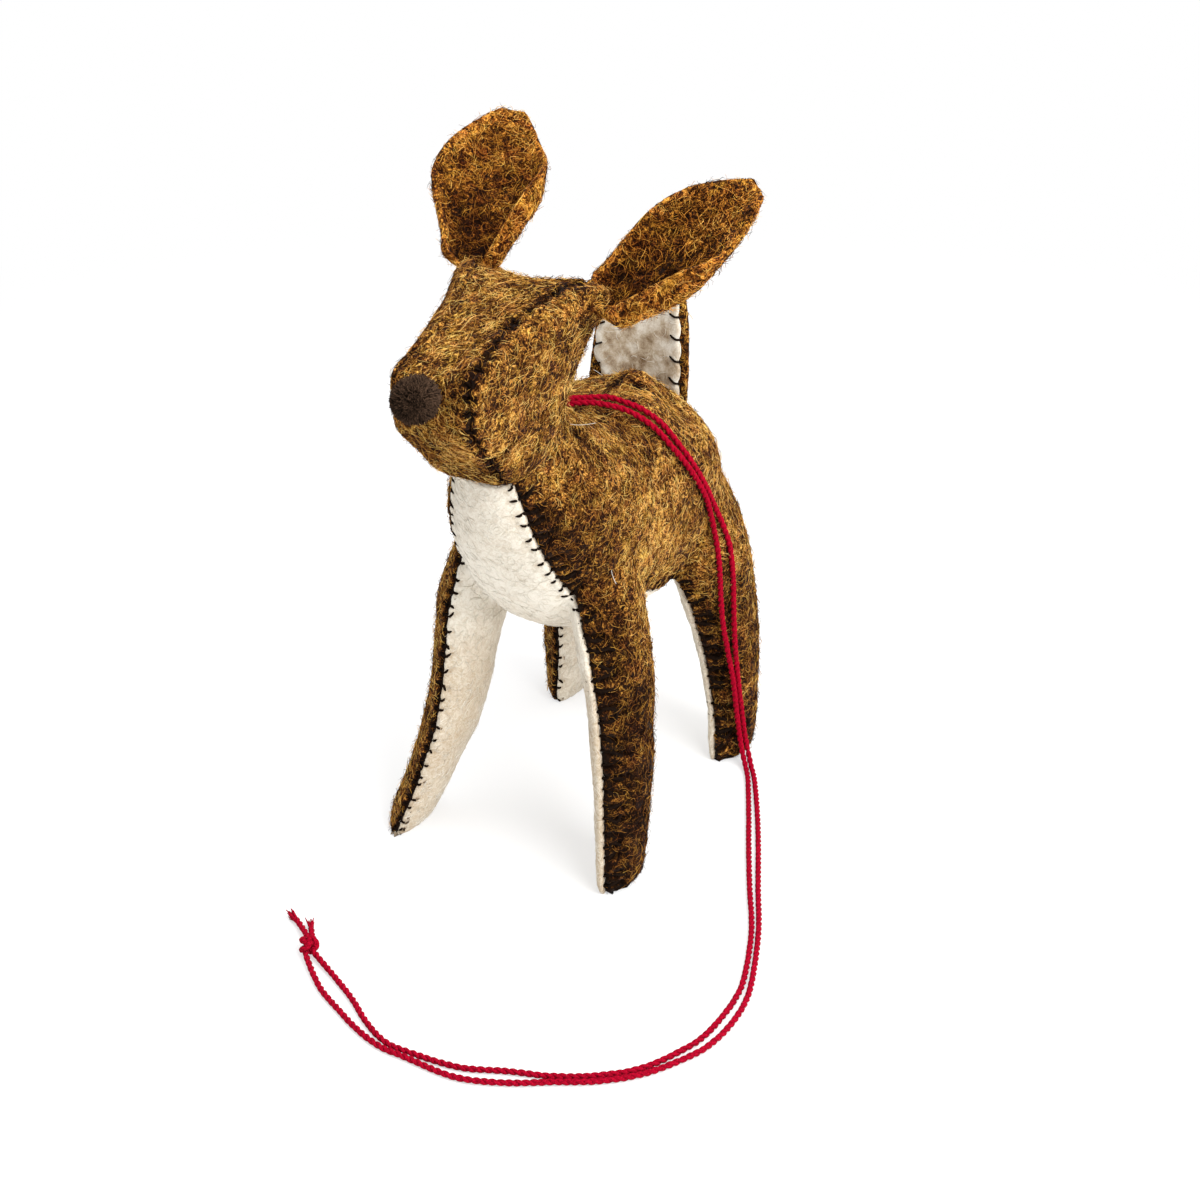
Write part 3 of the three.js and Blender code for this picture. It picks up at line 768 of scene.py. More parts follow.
# Thread height over the felt and thread radius, along a stitch from the first panel's end to the second's
BAR_HEIGHTS = np.array([-0.4, 0.05, 0.05, -0.05, -0.2, 0.05, 0.06, -0.3])
BAR_RADII = np.array([0.24, 0.33, 0.33, 0.28, 0.22, 0.22, 0.19, 0.15])


def tree_of(co, tri):
    return BVHTree.FromPolygons(co.tolist(), tri.tolist())


def nearest(tree, points):
    """Nearest places on a surface and its outward directions there."""
    found = [tree.find_nearest(p) for p in np.asarray(points).tolist()]
    return np.array([f[0] for f in found]), np.array([f[1] for f in found])


def distances(targets, points):
    """Distance from each point to the nearest target."""
    tree = KDTree(len(targets))
    for i, p in enumerate(targets.tolist()):
        tree.insert(p, i)
    tree.balance()
    return np.array([tree.find(p)[2] for p in points.tolist()])


def stitch_places(line, rng):
    """Places along a seam about a pitch apart, with the seam's direction there."""
    run = run_along(line)
    count = int(run[-1] / STITCH_PITCH)
    marks = (np.arange(count) + 0.5) * run[-1] / max(count, 1)
    marks = marks + rng.uniform(-STITCH_JITTER, STITCH_JITTER, count)
    before = points_at(np.maximum(marks - TANGENT_REACH, 0), run, line)
    after = points_at(np.minimum(marks + TANGENT_REACH, run[-1]), run, line)
    return points_at(marks, run, line), unit(after - before)


def stitch_bars(co, tri, tag, seams):
    """For each seam, the threads that cross it: points from the end in one panel to the end in the other."""
    tree = tree_of(co, tri)
    rng = np.random.default_rng(STITCH_SEED)
    bars = []
    for pair, lines in sorted(seams.items()):
        for line in lines:
            if len(line) < SHORTEST_SEAM or pair not in BITES:
                continue
            places, along = stitch_places(co[line], rng)
            group = []
            for p, t in zip(places, along):
                normal = np.array(tree.find_nearest(p)[1])
                side = unit(np.cross(normal, t))
                if tag[tree.find_nearest(p + PROBE * side)[2]] != pair[0]:
                    side = -side
                on_left_leg = pair == (LEFT, UNDER) and p[2] < LEG_TOP_Z
                bites = LEFT_LEG_BITES if on_left_leg else BITES[pair]
                first, second = np.array(bites) * rng.uniform(*BITE_SHARES)
                lean = t * rng.uniform(-STITCH_LEAN, STITCH_LEAN)
                reach = np.concatenate([np.linspace(first, NEAREST_REACH, SEAM_POINT), [0],
                                        np.linspace(-NEAREST_SHARE, -1, POINTS_BEYOND) * second])
                group.append(np.array([p + r * side + abs(r) * lean for r in reach]))
            bars.append((pair, group))
    return bars, tree


def peaked(co, tri):
    """The skin drawn up into a peak at the foot of each ear."""
    tree = tree_of(co, tri)
    for root in EAR_ROOTS.values():
        seat = nearest(tree, [root])[0][0]
        away = np.linalg.norm(co - seat, axis=1)
        co = co + PEAK_PULL * near(away, PEAK_REACH)[:, None] * (root - seat)
    return co


def panel_relief(co, seam_ids, bar_points, normals):
    """Raises the seam edges, sinks the seams and draws the felt in under each stitch; gives the shade too."""
    to_seam = distances(co[seam_ids], co)
    to_bar = distances(bar_points, co)
    at_pit = near(distances(PITS, co), PIT_REACH)
    brown = 1 - CREAM_FLATNESS * smoothstep(-SEAM_BLEND, SEAM_BLEND, underbody_field(co))
    lift = LIP * near(to_seam, LIP_REACH) - GROOVE * near(to_seam, GROOVE_REACH)
    lift = lift - DENT * brown * near(to_bar, DENT_REACH) - PIT_DEPTH * at_pit + soft_noise(co, SKIN_LUMPS)
    patchy = np.clip(0.5 + soft_noise(co, SEAM_PATCHES), 0, 1)
    plain = (co[:, 0] < 0) & (co[:, 2] > THROAT_Z)
    dark = np.where(plain, PLAIN_SEAM_SHADE * patchy, SEAM_SHADE + SEAM_SHADE * patchy)
    at_seam = dark * near(to_seam, SEAM_SHADE_REACH)
    stitched = brown * np.maximum(near(to_bar, SHADE_REACH), at_seam)
    shade = np.maximum(stitched, np.minimum(PIT_SHADE * at_pit, 1))
    return grounded(co + normals * lift[:, None]), shade


def painted_shade_and_dirt(co, cream):
    """How much painted shade and dirt darken the felt: the cream on the legs and upper chest, the brown on
    its left side.
    """
    x, y, z = co.T
    front = 1 - smoothstep(*FRONT_FADE_Y, y)
    legs = (HIND_LEG_SHADE_SHARE + (1 - HIND_LEG_SHADE_SHARE) * front) * (1 - smoothstep(*LEG_FADE_Z, z))
    if cream:
        return np.maximum(CREAM_LEG_SHADE * legs, CHEST_SHADE * smoothstep(*CHEST_FADE_Z, z))
    shade = np.maximum(LEG_SHADE * legs, FRONT_SHADE * front * (1 - smoothstep(*NECK_FADE_Z, z)))
    for middle, reach, depth in PAINTED_LIGHT_PLACES:
        shade = shade + depth * falloff(co, middle, reach)
    return shade * smoothstep(*LEFT_FADE_X, x)


def shell(co, tri, normals, thickness):
    """A closed sheet: the outer triangles, the same ones a thickness further in, and a rim."""
    used, flat = np.unique(tri, return_inverse=True)
    outer_tri = flat.reshape(-1, 3)
    count = len(used)
    points = np.vstack([co[used], co[used] - normals[used] * thickness])
    rim, _ = rim_of(outer_tri, count)
    faces = outer_tri.tolist() + (outer_tri[:, ::-1] + count).tolist()
    faces += [(b, a, a + count, b + count) for a, b in rim.tolist()]
    return points, faces


def opened(co, tri):
    """Draws the border of a panel back from the seam."""
    edges, rim = rim_of(tri, len(co))
    third = np.concatenate([tri[:, 2], tri[:, 0], tri[:, 1]])[rim]
    inward = np.zeros_like(co)
    for corner in edges.T:
        np.add.at(inward, corner, co[third] - co[corner])
    border = np.linalg.norm(inward, axis=1) > 0
    moved = co.copy()
    moved[border] += unit(inward[border]) * SEAM_OPENING
    return moved


def tubes(lines, radius, sides=6):
    """Closed tubes along lines, as one set of points and faces; radius may be a list for each line."""
    turn = 2 * np.pi * np.arange(sides) / sides
    parts = []
    for n, line in enumerate(lines):
        r = radius[n] if isinstance(radius, list) else radius
        r = np.broadcast_to(np.asarray(r, float), (len(line),))
        points, faces = loft(rings_round(line, *crosswise(line), r, turn))
        parts.append((points, [face[::-1] for face in faces]))
    return merged(parts)


def stitch_lines(bars, tree):
    """Thread lines over the relief, and their radii: across the seam, and along it to the next stitch."""
    lines, radii = [], []
    for pair, group in bars:
        middles = []
        for bar in group:
            spots, normals = nearest(tree, bar)
            one_sided = np.linalg.norm(bar[-1] - bar[SEAM_POINT]) < ONE_SIDED_REACH
            sunk = one_sided & (np.arange(len(bar)) >= SEAM_POINT)
            line = spots + normals * np.where(sunk, ONE_SIDED_HEIGHT, BAR_HEIGHTS)[:, None]
            middles.append(spots[SEAM_POINT])
            lines.append(spline(grounded(line, BAR_RADII), THREAD_STEPS))
            share = np.linspace(0, len(bar) - 1, len(lines[-1]))
            thick = np.interp(share, np.arange(len(bar)), BAR_RADII)
            radii.append(FINE_THREAD_RADIUS if GUSSET in pair else thick)
        for a, b in zip(middles, middles[1:]):
            if UNDER in pair and np.linalg.norm(b - a) < 2 * STITCH_PITCH:
                spots, normals = nearest(tree, a + (b - a) * np.linspace(0, 1, LINK_POINTS)[:, None])
                shown = RIGHT in pair
                lines.append(spline(spots - normals * (0 if shown else LINK_SINK), THREAD_STEPS))
                radii.append(LINK_RADIUS if shown else FINE_THREAD_RADIUS)
    return lines, radii


def felt_of(node):
    return CREAM if node == "underbody_panel" else BROWN


def make_body():
    """The felt panels and their stitches. Gives each panel's surface and shade, and the whole skin."""
    co, tri, tag = make_skin()
    seams = seam_lines(tri, tag)
    bars, tree = stitch_bars(co, tri, tag, seams)
    bar_points = np.vstack([nearest(tree, bar)[0] for _, group in bars for bar in group])
    seam_ids = np.unique(np.concatenate([line for lines in seams.values() for line in lines]))
    co, at_seams = panel_relief(co, seam_ids, bar_points, normals_of(co, tri))
    normals = normals_of(co, tri)
    surfaces = {}
    for label, (node, (flat, area, _)) in enumerate(PANELS.items()):
        own = tri[tag == label]
        surface = opened(co, own)
        felt = felt_of(node)
        # Painted shade and dirt, and on top of them the painted shade in the seams, the stitch dents and the
        # pits
        shade_and_dirt = painted_shade_and_dirt(co, felt is CREAM)
        shade = shade_and_dirt + at_seams * (1 - np.maximum(shade_and_dirt, 0))
        points, faces = shell(surface, own, normals, FELT)
        panel = add_piece("felt_" + node, grounded(points), faces, felt.material, "body", felt.slot, node)
        add_values(panel, "shade", np.tile(shade[np.unique(own)], 2))
        surfaces[node] = (surface, own, shade)
    relief = tree_of(co, tri)
    points, faces = tubes(*stitch_lines(bars, relief))
    add_piece("blanket_stitches", points, faces, THREAD, "body", "stitch_thread")
    return surfaces, relief


# Loose fibres that lie in the felt and stand off it

FIBRE_ROWS = 5
FIBRE_LENGTH = 2.2
FIBRE_CURL = 0.55
FIBRE_WANDER = 0.3
FIBRE_RADIUS = 0.034
# How far a tucked and a stray fibre rise along their rows, by the felt's own lift, and how a fibre tapers
TUCKED_RISE = np.array([-0.4, 0.7, 1.0, 0.7, -0.4])
STRAY_RISE = np.array([-0.4, 0.8, 2.2, 4.0, 5.6])
FIBRE_TAPER = np.array([0.7, 1.0, 1.0, 0.9, 0.4])
# From the least to the most share of a fibre's length, rise and radius
LENGTH_SHARES = (0.6, 1.3)
RISE_SHARES = (0.5, 1.5)
RADIUS_SHARES = (0.7, 1.3)
# The two shape values of the spread of tones, and how much paler a stray fibre is
TONE_SPREAD = (0.64, 0.76)
STRAY_TONE = 0.1
STRAY_SHARE = 0.24
# Fibres thin out by this share where the shade goes from the first value to the second
BARE_SHARE = 0.8
BARE_SHADES = (0.5, 0.9)
MOST_FIBRES = 7000
PANEL_SEED = 20
FIBRE_TURNS = np.array([0.5, 1.1667, 1.8333]) * np.pi
CELL_CORNERS = np.array([(0.1, 0.1), (0.9, 0.1), (0.9, 0.9), (0.1, 0.9)])


def fibres(name, co, tri, count, seed, felt, body, shade):
    """Short curly fibres over a surface, in as few pieces as their number allows."""
    rng = np.random.default_rng(seed)
    tree = tree_of(co, tri)
    a, b, c = corners_of(co, tri)
    area = np.linalg.norm(np.cross(b - a, c - a), axis=1)
    chance = area * (1 - BARE_SHARE * smoothstep(*BARE_SHADES, shade[tri].mean(1)))
    pick = rng.choice(len(tri), count, p=chance / chance.sum())
    u, v = rng.random((2, count, 1))
    over = u + v > 1
    u, v = np.where(over, 1 - u, u), np.where(over, 1 - v, v)
    where = a[pick] + u * (b - a)[pick] + v * (c - a)[pick]
    heading = unit(rng.normal(size=(count, 3)))
    step = FIBRE_LENGTH / (FIBRE_ROWS - 1) * rng.uniform(*LENGTH_SHARES, (count, 1))
    bend = rng.normal(0, FIBRE_CURL, (count, 1))
    spots, outs = [], []
    for _ in range(FIBRE_ROWS):
        where, out = nearest(tree, where)
        heading = unit(heading - out * np.sum(heading * out, axis=1, keepdims=True))
        swerve = bend + rng.normal(0, FIBRE_WANDER, (count, 1))
        heading = unit(heading + swerve * np.cross(out, heading))
        spots.append(where)
        outs.append(out)
        where = where + heading * step
    stray = rng.random(count) < STRAY_SHARE
    rise = np.where(stray[:, None], STRAY_RISE, TUCKED_RISE) * felt.lift
    rise = rise * rng.uniform(*RISE_SHARES, (count, 1))
    out = np.stack(outs, axis=1)
    line = grounded(np.stack(spots, axis=1) + out * rise[:, :, None], 2 * FIBRE_RADIUS)
    clear = distances(PITS, line.reshape(-1, 3)).reshape(count, -1).min(1) > PIT_REACH
    radius = FIBRE_RADIUS * FIBRE_TAPER * rng.uniform(*RADIUS_SHARES, (count, 1))
    tone = rng.beta(*TONE_SPREAD, count) + STRAY_TONE * stray
    tone = np.clip(tone - felt.darkening * shade[tri[pick]].mean(1), 0, 1)
    batches = max(1, math.ceil(count / MOST_FIBRES))
    for n, chosen in enumerate(np.array_split(np.flatnonzero(clear), batches)):
        label = name if batches == 1 else f"{name}_{n + 1}"
        rings = fibre_rings(line[chosen], out[chosen], radius[chosen])
        fibre_object(label, rings, tone[chosen], felt.fibre, body, felt.slot)


def fibre_rings(line, out, radius):
    """Three-sided rings of points along each fibre."""
    along = unit(np.gradient(line, axis=1))
    side = unit(np.cross(along, out))
    return rings_round(line, side, np.cross(side, along), radius, FIBRE_TURNS)


def fibre_object(name, rings, tone, material, body, slot, *nodes):
    """One mesh of closed three-sided fibres, each with a tone and a cell of its own in the texture map."""
    count, rows, sides = rings.shape[:3]
    quads = []
    for low in range(0, (rows - 1) * sides, sides):
        for side in range(sides):
            after = (side + 1) % sides
            quads.append([low + side, low + after, low + sides + after, low + sides + side])
    caps = [list(range(sides))[::-1], list(range((rows - 1) * sides, rows * sides))]
    faces = []
    for start in range(0, count * rows * sides, rows * sides):
        faces += [[i + start for i in face[::-1]] for face in quads + caps]
    obj = add_piece(name, rings.reshape(-1, 3), faces, material, body, slot, *nodes)
    add_values(obj, "tone", np.repeat(tone, rows * sides))
    grid = math.ceil(math.sqrt(count))
    cells = math.ceil(math.sqrt(len(quads) + len(caps)))
    local = np.vstack([(CELL_CORNERS[:len(face)] + (n % cells, n // cells)) / cells
                       for n, face in enumerate(quads + caps)])
    origin = np.stack([np.arange(count) % grid, np.arange(count) // grid], axis=1)
    uv = (origin[:, None] + local[None]) / grid
    layer = obj.data.uv_layers.new(name="OFBake")
    layer.uv.foreach_set("vector", uv.reshape(-1).astype(np.float32))


def cover_panels(surfaces):
    for seed, (node, (surface, own, shade)) in enumerate(surfaces.items()):
        count = PANELS[node][-1]
        fibres("fibres_" + node, surface, own, count, PANEL_SEED + seed, felt_of(node), "body", shade)


# Ears and tail

EAR_LENGTH = 25.3
EAR_HALF_WIDTH = 8.1
EAR_TIP_HALF_WIDTH = 3
EAR_WIDEST_AT = 0.58
EAR_POINT = 1.8
EAR_POINT_POWER = 6.0
EAR_ROOT_CURL = 135
EAR_PLAIN_RIM_CURL = 50
EAR_PLAIN_NARROWING = 0.15
EAR_TIP_CURL = 30
EAR_OPENING = 0.45
EAR_FOLD = math.radians(115)
EAR_FOLD_WIDTH = 0.55
EAR_FOLD_AT = (0.62, 0.86)
EAR_FOLD_END = (0.32, 0.84)
EAR_PLAIN_FADE = (0, 0.5)
EAR_RIM_FADE = (0, 0.45)
EAR_RIM_AT = (0.5, 1)
EAR_HOLLOW_SHADE = 0.42
EAR_HOLLOW_EDGE = (0.6, 1)
EAR_FIBRES = 5200
EAR_SEED = 40
# Each ear: the way it points, the way its hollow faces, its tip's lean, its length and its root's half width
EARS = {
    "ear_left": ((0.7, 0.42, 0.6), (-0.19, -0.69, 0.7), 1.6, EAR_LENGTH, 6.5),
    "ear_right": ((-0.24, 0.74, 0.62), (0.4, -0.52, 0.75), -2.5, EAR_LENGTH + 1.3, 5),
}
# Each leaf's grid: where its tip starts, the rows below it and in it, and the columns
EAR_GRID = (0.9, 60, 16, 73)
TAIL_GRID = (0.8, 34, 22, 49)
EDGE_POWER = 14
TIP_POWER = 22
LEAST_ROUNDING = 0.06
STALK_ROWS = 8
STALK_SINK = 1.2
TAIL_LENGTH = 24
TAIL_HALF_WIDTH = 9.5
TAIL_LINING_INSET = 0.9
TAIL_LINING_CORNER = 2.4
TAIL_CURL = 24
TAIL_TAPER = 0.12
TAIL_ROUNDING = 0.97
TAIL_ROUND_POWER = 4
TAIL_CORNER_DROP = 2.8
TAIL_CORNER_FADE = (0.1, 0.32)
TAIL_ROOT = (-4.9, 33.6, 60.6)
TAIL_LEAN = math.radians(8)
TAIL_STITCH_PITCH = 3.4
TAIL_NOTCH = 0.45
TAIL_NOTCH_REACH = 0.7
SEAT_GAP = 0.3
TAIL_LINING_LIFT = FELT + SEAT_GAP / 3
# Darkening on the tail: painted shade all over, and dirt in its low middle and in smudges of two sizes and
# strengths
TAIL_SHADE = 0.19
MIDDLE_DIRT = 0.35
MIDDLE_FADE = (0.15, 0.8)
MIDDLE_POWER = 3
SMUDGE_DIRT = 0.45
SMUDGES = [(2.6, 1), (1.1, 0.9)]
# Places of a tail stitch's points across the lining, and their heights over it by the felt's thickness
TICK_SIDES = np.array([-1.05, -1.0, -0.95, -0.88, -0.8, 0, 0.86, 0.91, 0.96, 1.0, 1.05])
TICK_HEIGHTS = np.array([-0.6, 0.45, 0.62, 0.6, 0.3, 0, 0.3, 0.6, 0.62, 0.45, -0.6])
TICK_MIDDLE = 5
TICK_RADIUS = 0.19
TAIL_SEED = 50


def leaf_frame(along, face):
    """Directions of a leaf as columns: across it, out of its hollow, and along it."""
    along = unit(np.array(along, float))
    hollow = np.array(face, float)
    hollow = unit(hollow - along * hollow.dot(along))
    return np.stack([np.cross(hollow, along), hollow, along], axis=1)


def leaf_grid(tip_at, rows, tip_rows, columns):
    """Shares along a leaf, the same with rows for its stalk in front, and places across it."""
    shares = np.concatenate([np.linspace(0, tip_at, rows), np.linspace(tip_at, 1, tip_rows)[1:]])
    sides = np.sin(np.linspace(-np.pi / 2, np.pi / 2, columns))
    return shares, np.concatenate([np.zeros(STALK_ROWS), shares]), sides


def leaf(shares, sides, length, half_width, turn_at, lift, root, axes, drop=0, lean=0):
    """A cupped leaf's middle surface and its hollow-side directions, as grids in the drawing."""
    t, s = np.meshgrid(shares, sides, indexing="ij")
    turn = turn_at(t, s)
    middle = len(sides) // 2
    half = (turn[:, 1:] + turn[:, :-1]) / 2
    reach = half_width(t[:, 1:], (s[:, 1:] + s[:, :-1]) / 2) * np.diff(s, axis=1)
    start = np.zeros((len(shares), 1))
    across = np.hstack([start, np.cumsum(reach * np.cos(half), axis=1)])
    rise = np.hstack([start, np.cumsum(reach * np.sin(half), axis=1)])
    across, rise = across - across[:, middle, None], rise - rise[:, middle, None]
    height = t * length - drop * (1 - t) * s**2
    local = np.stack([across + lean * t**2, lift + rise, height], axis=2)
    facing = np.stack([-np.sin(turn), np.cos(turn), np.zeros_like(s)], axis=2)
    return np.asarray(root) + local @ axes.T, facing @ axes.T


def leaf_sheet(middle, facing, half_thickness):
    """A closed sheet round a grid: points, faces, and the triangles of its hollow face and its back."""
    rows, columns = middle.shape[:2]
    offset = facing * half_thickness[..., None]
    points = np.vstack([(middle + offset).reshape(-1, 3), (middle - offset).reshape(-1, 3)])
    back = rows * columns
    index = np.arange(back).reshape(rows, columns)
    a, b, c, d = (index[:-1, :-1], index[1:, :-1], index[1:, 1:], index[:-1, 1:])
    quads = np.stack([a, b, c, d], axis=2).reshape(-1, 4)
    rim = np.concatenate([index[0], index[1:, -1], index[-1, -2::-1], index[-2:0:-1, 0]])
    after = np.roll(rim, -1)
    faces = quads.tolist() + (quads[:, ::-1] + back).tolist()
    faces += np.stack([rim, after, after + back, rim + back], axis=1).tolist()
    tri = np.vstack([quads[:, [0, 1, 2]], quads[:, [0, 2, 3]]])
    both = np.vstack([tri, tri[:, ::-1] + back])
    return points, faces, both


def rim_rounding(shares, sides, thickness):
    """Half thickness that rounds off towards the long edges and the tip."""
    t, s = np.meshgrid(shares, sides, indexing="ij")
    edge = np.maximum(np.abs(s) ** EDGE_POWER, np.clip(t, 0, 1) ** TIP_POWER)
    return thickness / 2 * np.sqrt(np.maximum(1 - edge, LEAST_ROUNDING))


def ear_fold(t):
    """How far the rim that folds in is folded, from 1 at the root to 0 towards the tip."""
    return 1 - smoothstep(*EAR_FOLD_END, t)


def ear_width(root):
    """Half width along an ear, from its half width at the root; the rim that folds in is cut wider."""
    def taper(share):
        return root + (EAR_TIP_HALF_WIDTH - root) * share

    def half_width(t, s):
        widening = math.log(0.5) / math.log(EAR_WIDEST_AT)
        whole = taper(t) + (EAR_HALF_WIDTH - taper(EAR_WIDEST_AT)) * np.sin(np.pi * t**widening)
        pointed = EAR_POINT + (1 - t) * EAR_LENGTH
        ending = (whole**-EAR_POINT_POWER + pointed**-EAR_POINT_POWER) ** (-1 / EAR_POINT_POWER)
        plain = 1 - EAR_PLAIN_NARROWING * (1 - smoothstep(*EAR_PLAIN_FADE, t))
        return ending * np.where(s < 0, 1 + EAR_FOLD_WIDTH * ear_fold(t), plain)
    return half_width


def ear_turn(t, s):
    """How far the felt of an ear is turned from its middle: cupped, with one rim folded in."""
    cup = np.radians(EAR_ROOT_CURL + (EAR_TIP_CURL - EAR_ROOT_CURL) * t**EAR_OPENING) / 2
    plain_rim = math.radians(EAR_PLAIN_RIM_CURL) * (1 - smoothstep(*EAR_RIM_FADE, t))
    plain_rim = plain_rim * smoothstep(*EAR_RIM_AT, s)
    return s * cup + plain_rim - EAR_FOLD * ear_fold(t) * smoothstep(*EAR_FOLD_AT, -s)


def ear_shade(shares, sides):
    """The hollow of an ear is darker towards its root; its rims and back are not."""
    t, s = np.meshgrid(shares, sides, indexing="ij")
    hollow = EAR_HOLLOW_SHADE * (1 - t) * (1 - smoothstep(*EAR_HOLLOW_EDGE, np.abs(s)))
    return np.concatenate([hollow.reshape(-1), np.zeros(hollow.size)])


def stalked(middle, facing, skin):
    """The same grids with rows in front that carry the root of a leaf into the skin."""
    spots, out = nearest(skin, middle[0])
    share = np.linspace(1, 0, STALK_ROWS, endpoint=False)[:, None, None]
    rows = middle[0] + share * (spots - STALK_SINK * out - middle[0])
    return np.vstack([rows, middle]), np.vstack([np.repeat(facing[:1], STALK_ROWS, axis=0), facing])


def make_ears(skin):
    shares, with_stalk, sides = leaf_grid(*EAR_GRID)
    half = rim_rounding(with_stalk, sides, FELT)
    shade = ear_shade(with_stalk, sides)
    for seed, (node, (along, face, lean, length, root)) in enumerate(EARS.items()):
        grids = leaf(shares, sides, length, ear_width(root), ear_turn, -FELT / 2, EAR_ROOTS[node],
                     leaf_frame(along, face), lean=lean)
        points, faces, both = leaf_sheet(*stalked(*grids, skin), half)
        ear = add_piece("felt_" + node, points, faces, EAR.material, node, EAR.slot, node)
        add_values(ear, "shade", shade)
        fibres("fibres_" + node, points, both, EAR_FIBRES, EAR_SEED + seed, EAR, node, shade)


def tail_width(inset, corner=0, notch=0):
    """Half width along the tail. One corner at its root may be cut back, and its edges notched."""
    def half_width(t, s):
        whole = TAIL_HALF_WIDTH * (1 - TAIL_TAPER * t) * np.sqrt(1 - TAIL_ROUNDING * t**TAIL_ROUND_POWER)
        from_stitch = (t * TAIL_LENGTH) % TAIL_STITCH_PITCH - TAIL_STITCH_PITCH / 2
        cut = inset + np.where(s > 0, corner * (1 - smoothstep(*TAIL_CORNER_FADE, t)), 0)
        cut = cut + notch * near(from_stitch, TAIL_NOTCH_REACH)
        return whole * (1 - cut / TAIL_HALF_WIDTH)
    return half_width


def tail_turn(t, s):
    """How far the felt of the tail is turned from its middle."""
    return s * np.radians(TAIL_CURL / 2)


def tail_shade_and_dirt(points, shares, sides):
    """Painted shade all over the tail, and brown smudges of dirt, most of them low in its middle."""
    t, s = np.meshgrid(shares, sides, indexing="ij")
    middle = np.tile(((1 - np.abs(s) ** MIDDLE_POWER) * (1 - smoothstep(*MIDDLE_FADE, t))).reshape(-1), 2)
    return np.clip(TAIL_SHADE + MIDDLE_DIRT * middle + SMUDGE_DIRT * soft_noise(points, SMUDGES), 0, 1)


def make_tail(skin):
    axes = leaf_frame((0, math.sin(TAIL_LEAN), math.cos(TAIL_LEAN)), (0, -1, 0))
    shares, with_stalk, sides = leaf_grid(*TAIL_GRID)
    half = rim_rounding(with_stalk, sides, FELT)
    # Each leaf: its felt, the inset of its edges, its cut corner, notches, lift, share of painted shade and
    # dirt, and fibres
    leaves = {
        "tail_outer": (BROWN, 0, 0, 0, 0, 0.3, 2200),
        "tail_lining": (CREAM, TAIL_LINING_INSET, TAIL_LINING_CORNER, TAIL_NOTCH, TAIL_LINING_LIFT, 1, 150),
    }
    for seed, (node, (felt, inset, corner, notch, lift, shade_and_dirt_share, count)) in enumerate(leaves.items()):
        length = TAIL_LENGTH - inset
        grids = leaf(shares, sides, length, tail_width(inset, corner, notch), tail_turn, lift, TAIL_ROOT,
                     axes, TAIL_CORNER_DROP)
        points, faces, both = leaf_sheet(*stalked(*grids, skin), half)
        piece = add_piece("felt_" + node, points, faces, felt.material, "tail", felt.slot, node)
        # Painted shade and dirt on each leaf, by its share
        shade = tail_shade_and_dirt(points, with_stalk, sides) * shade_and_dirt_share
        add_values(piece, "shade", shade)
        fibres("fibres_" + node, points, both, count, TAIL_SEED + seed, felt, "tail", shade)
    lining = tail_width(TAIL_LINING_INSET, notch=TAIL_NOTCH)
    ticks = []
    for share in np.arange(TAIL_STITCH_PITCH / 2, TAIL_LENGTH, TAIL_STITCH_PITCH) / TAIL_LENGTH:
        middle, facing = leaf([share], TICK_SIDES, TAIL_LENGTH - TAIL_LINING_INSET, lining, tail_turn,
                              TAIL_LINING_LIFT, TAIL_ROOT, axes, TAIL_CORNER_DROP)
        over = middle[0] + facing[0] * FELT * TICK_HEIGHTS[:, None]
        ticks += [spline(part, THREAD_STEPS) for part in (over[:TICK_MIDDLE], over[TICK_MIDDLE + 1:])]
    points, faces = tubes(ticks, TICK_RADIUS)
    add_piece("tail_stitches", points, faces, THREAD, "tail", "stitch_thread")


# Nose

TUFTS = 6000
NOSE_SEED = 7
NOSE_SEAT = 0.9
# Shares of a tuft's length at its points, and its radii there
TUFT_SHARES = np.array([0.3, 0.7, 0.88, 1.0])
TUFT_RADII = np.array([0.06, 0.085, 0.08, 0.045])
TUFT_REACHES = (0.86, 1.0)
TUFT_BENDS = (0.3, 3.0)
TUFT_BEND_FROM = 0.5
TUFT_BEND_POWER = 1.5
TUFT_WIDTHS = (0.8, 1.2)
TUFT_TILT = 0.3


def make_nose():
    rng = np.random.default_rng(NOSE_SEED)
    out = unit(rng.normal(size=(TUFTS, 3)))
    drift = unit(np.cross(out, rng.normal(size=(TUFTS, 3))))
    reach = NOSE_RADIUS * rng.uniform(*TUFT_REACHES, (TUFTS, 1))
    reach = reach + NOSE_SEAT * np.maximum(out[:, 1:2], 0) ** 2
    bend = np.maximum(TUFT_SHARES - TUFT_BEND_FROM, 0) ** TUFT_BEND_POWER
    bend = rng.uniform(*TUFT_BENDS, (TUFTS, 1)) * bend
    line = NOSE_AT + out[:, None] * (TUFT_SHARES * reach)[:, :, None] + drift[:, None] * bend[:, :, None]
    radius = TUFT_RADII * rng.uniform(*TUFT_WIDTHS, (TUFTS, 1))
    rings = fibre_rings(line, drift[:, None] + TUFT_TILT * out[:, None], radius)
    fibre_object("pompom_nose", rings, rng.random(TUFTS), NOSE_FIBRE, "body", "pompom_yarn", "nose_pompom")


# Cord

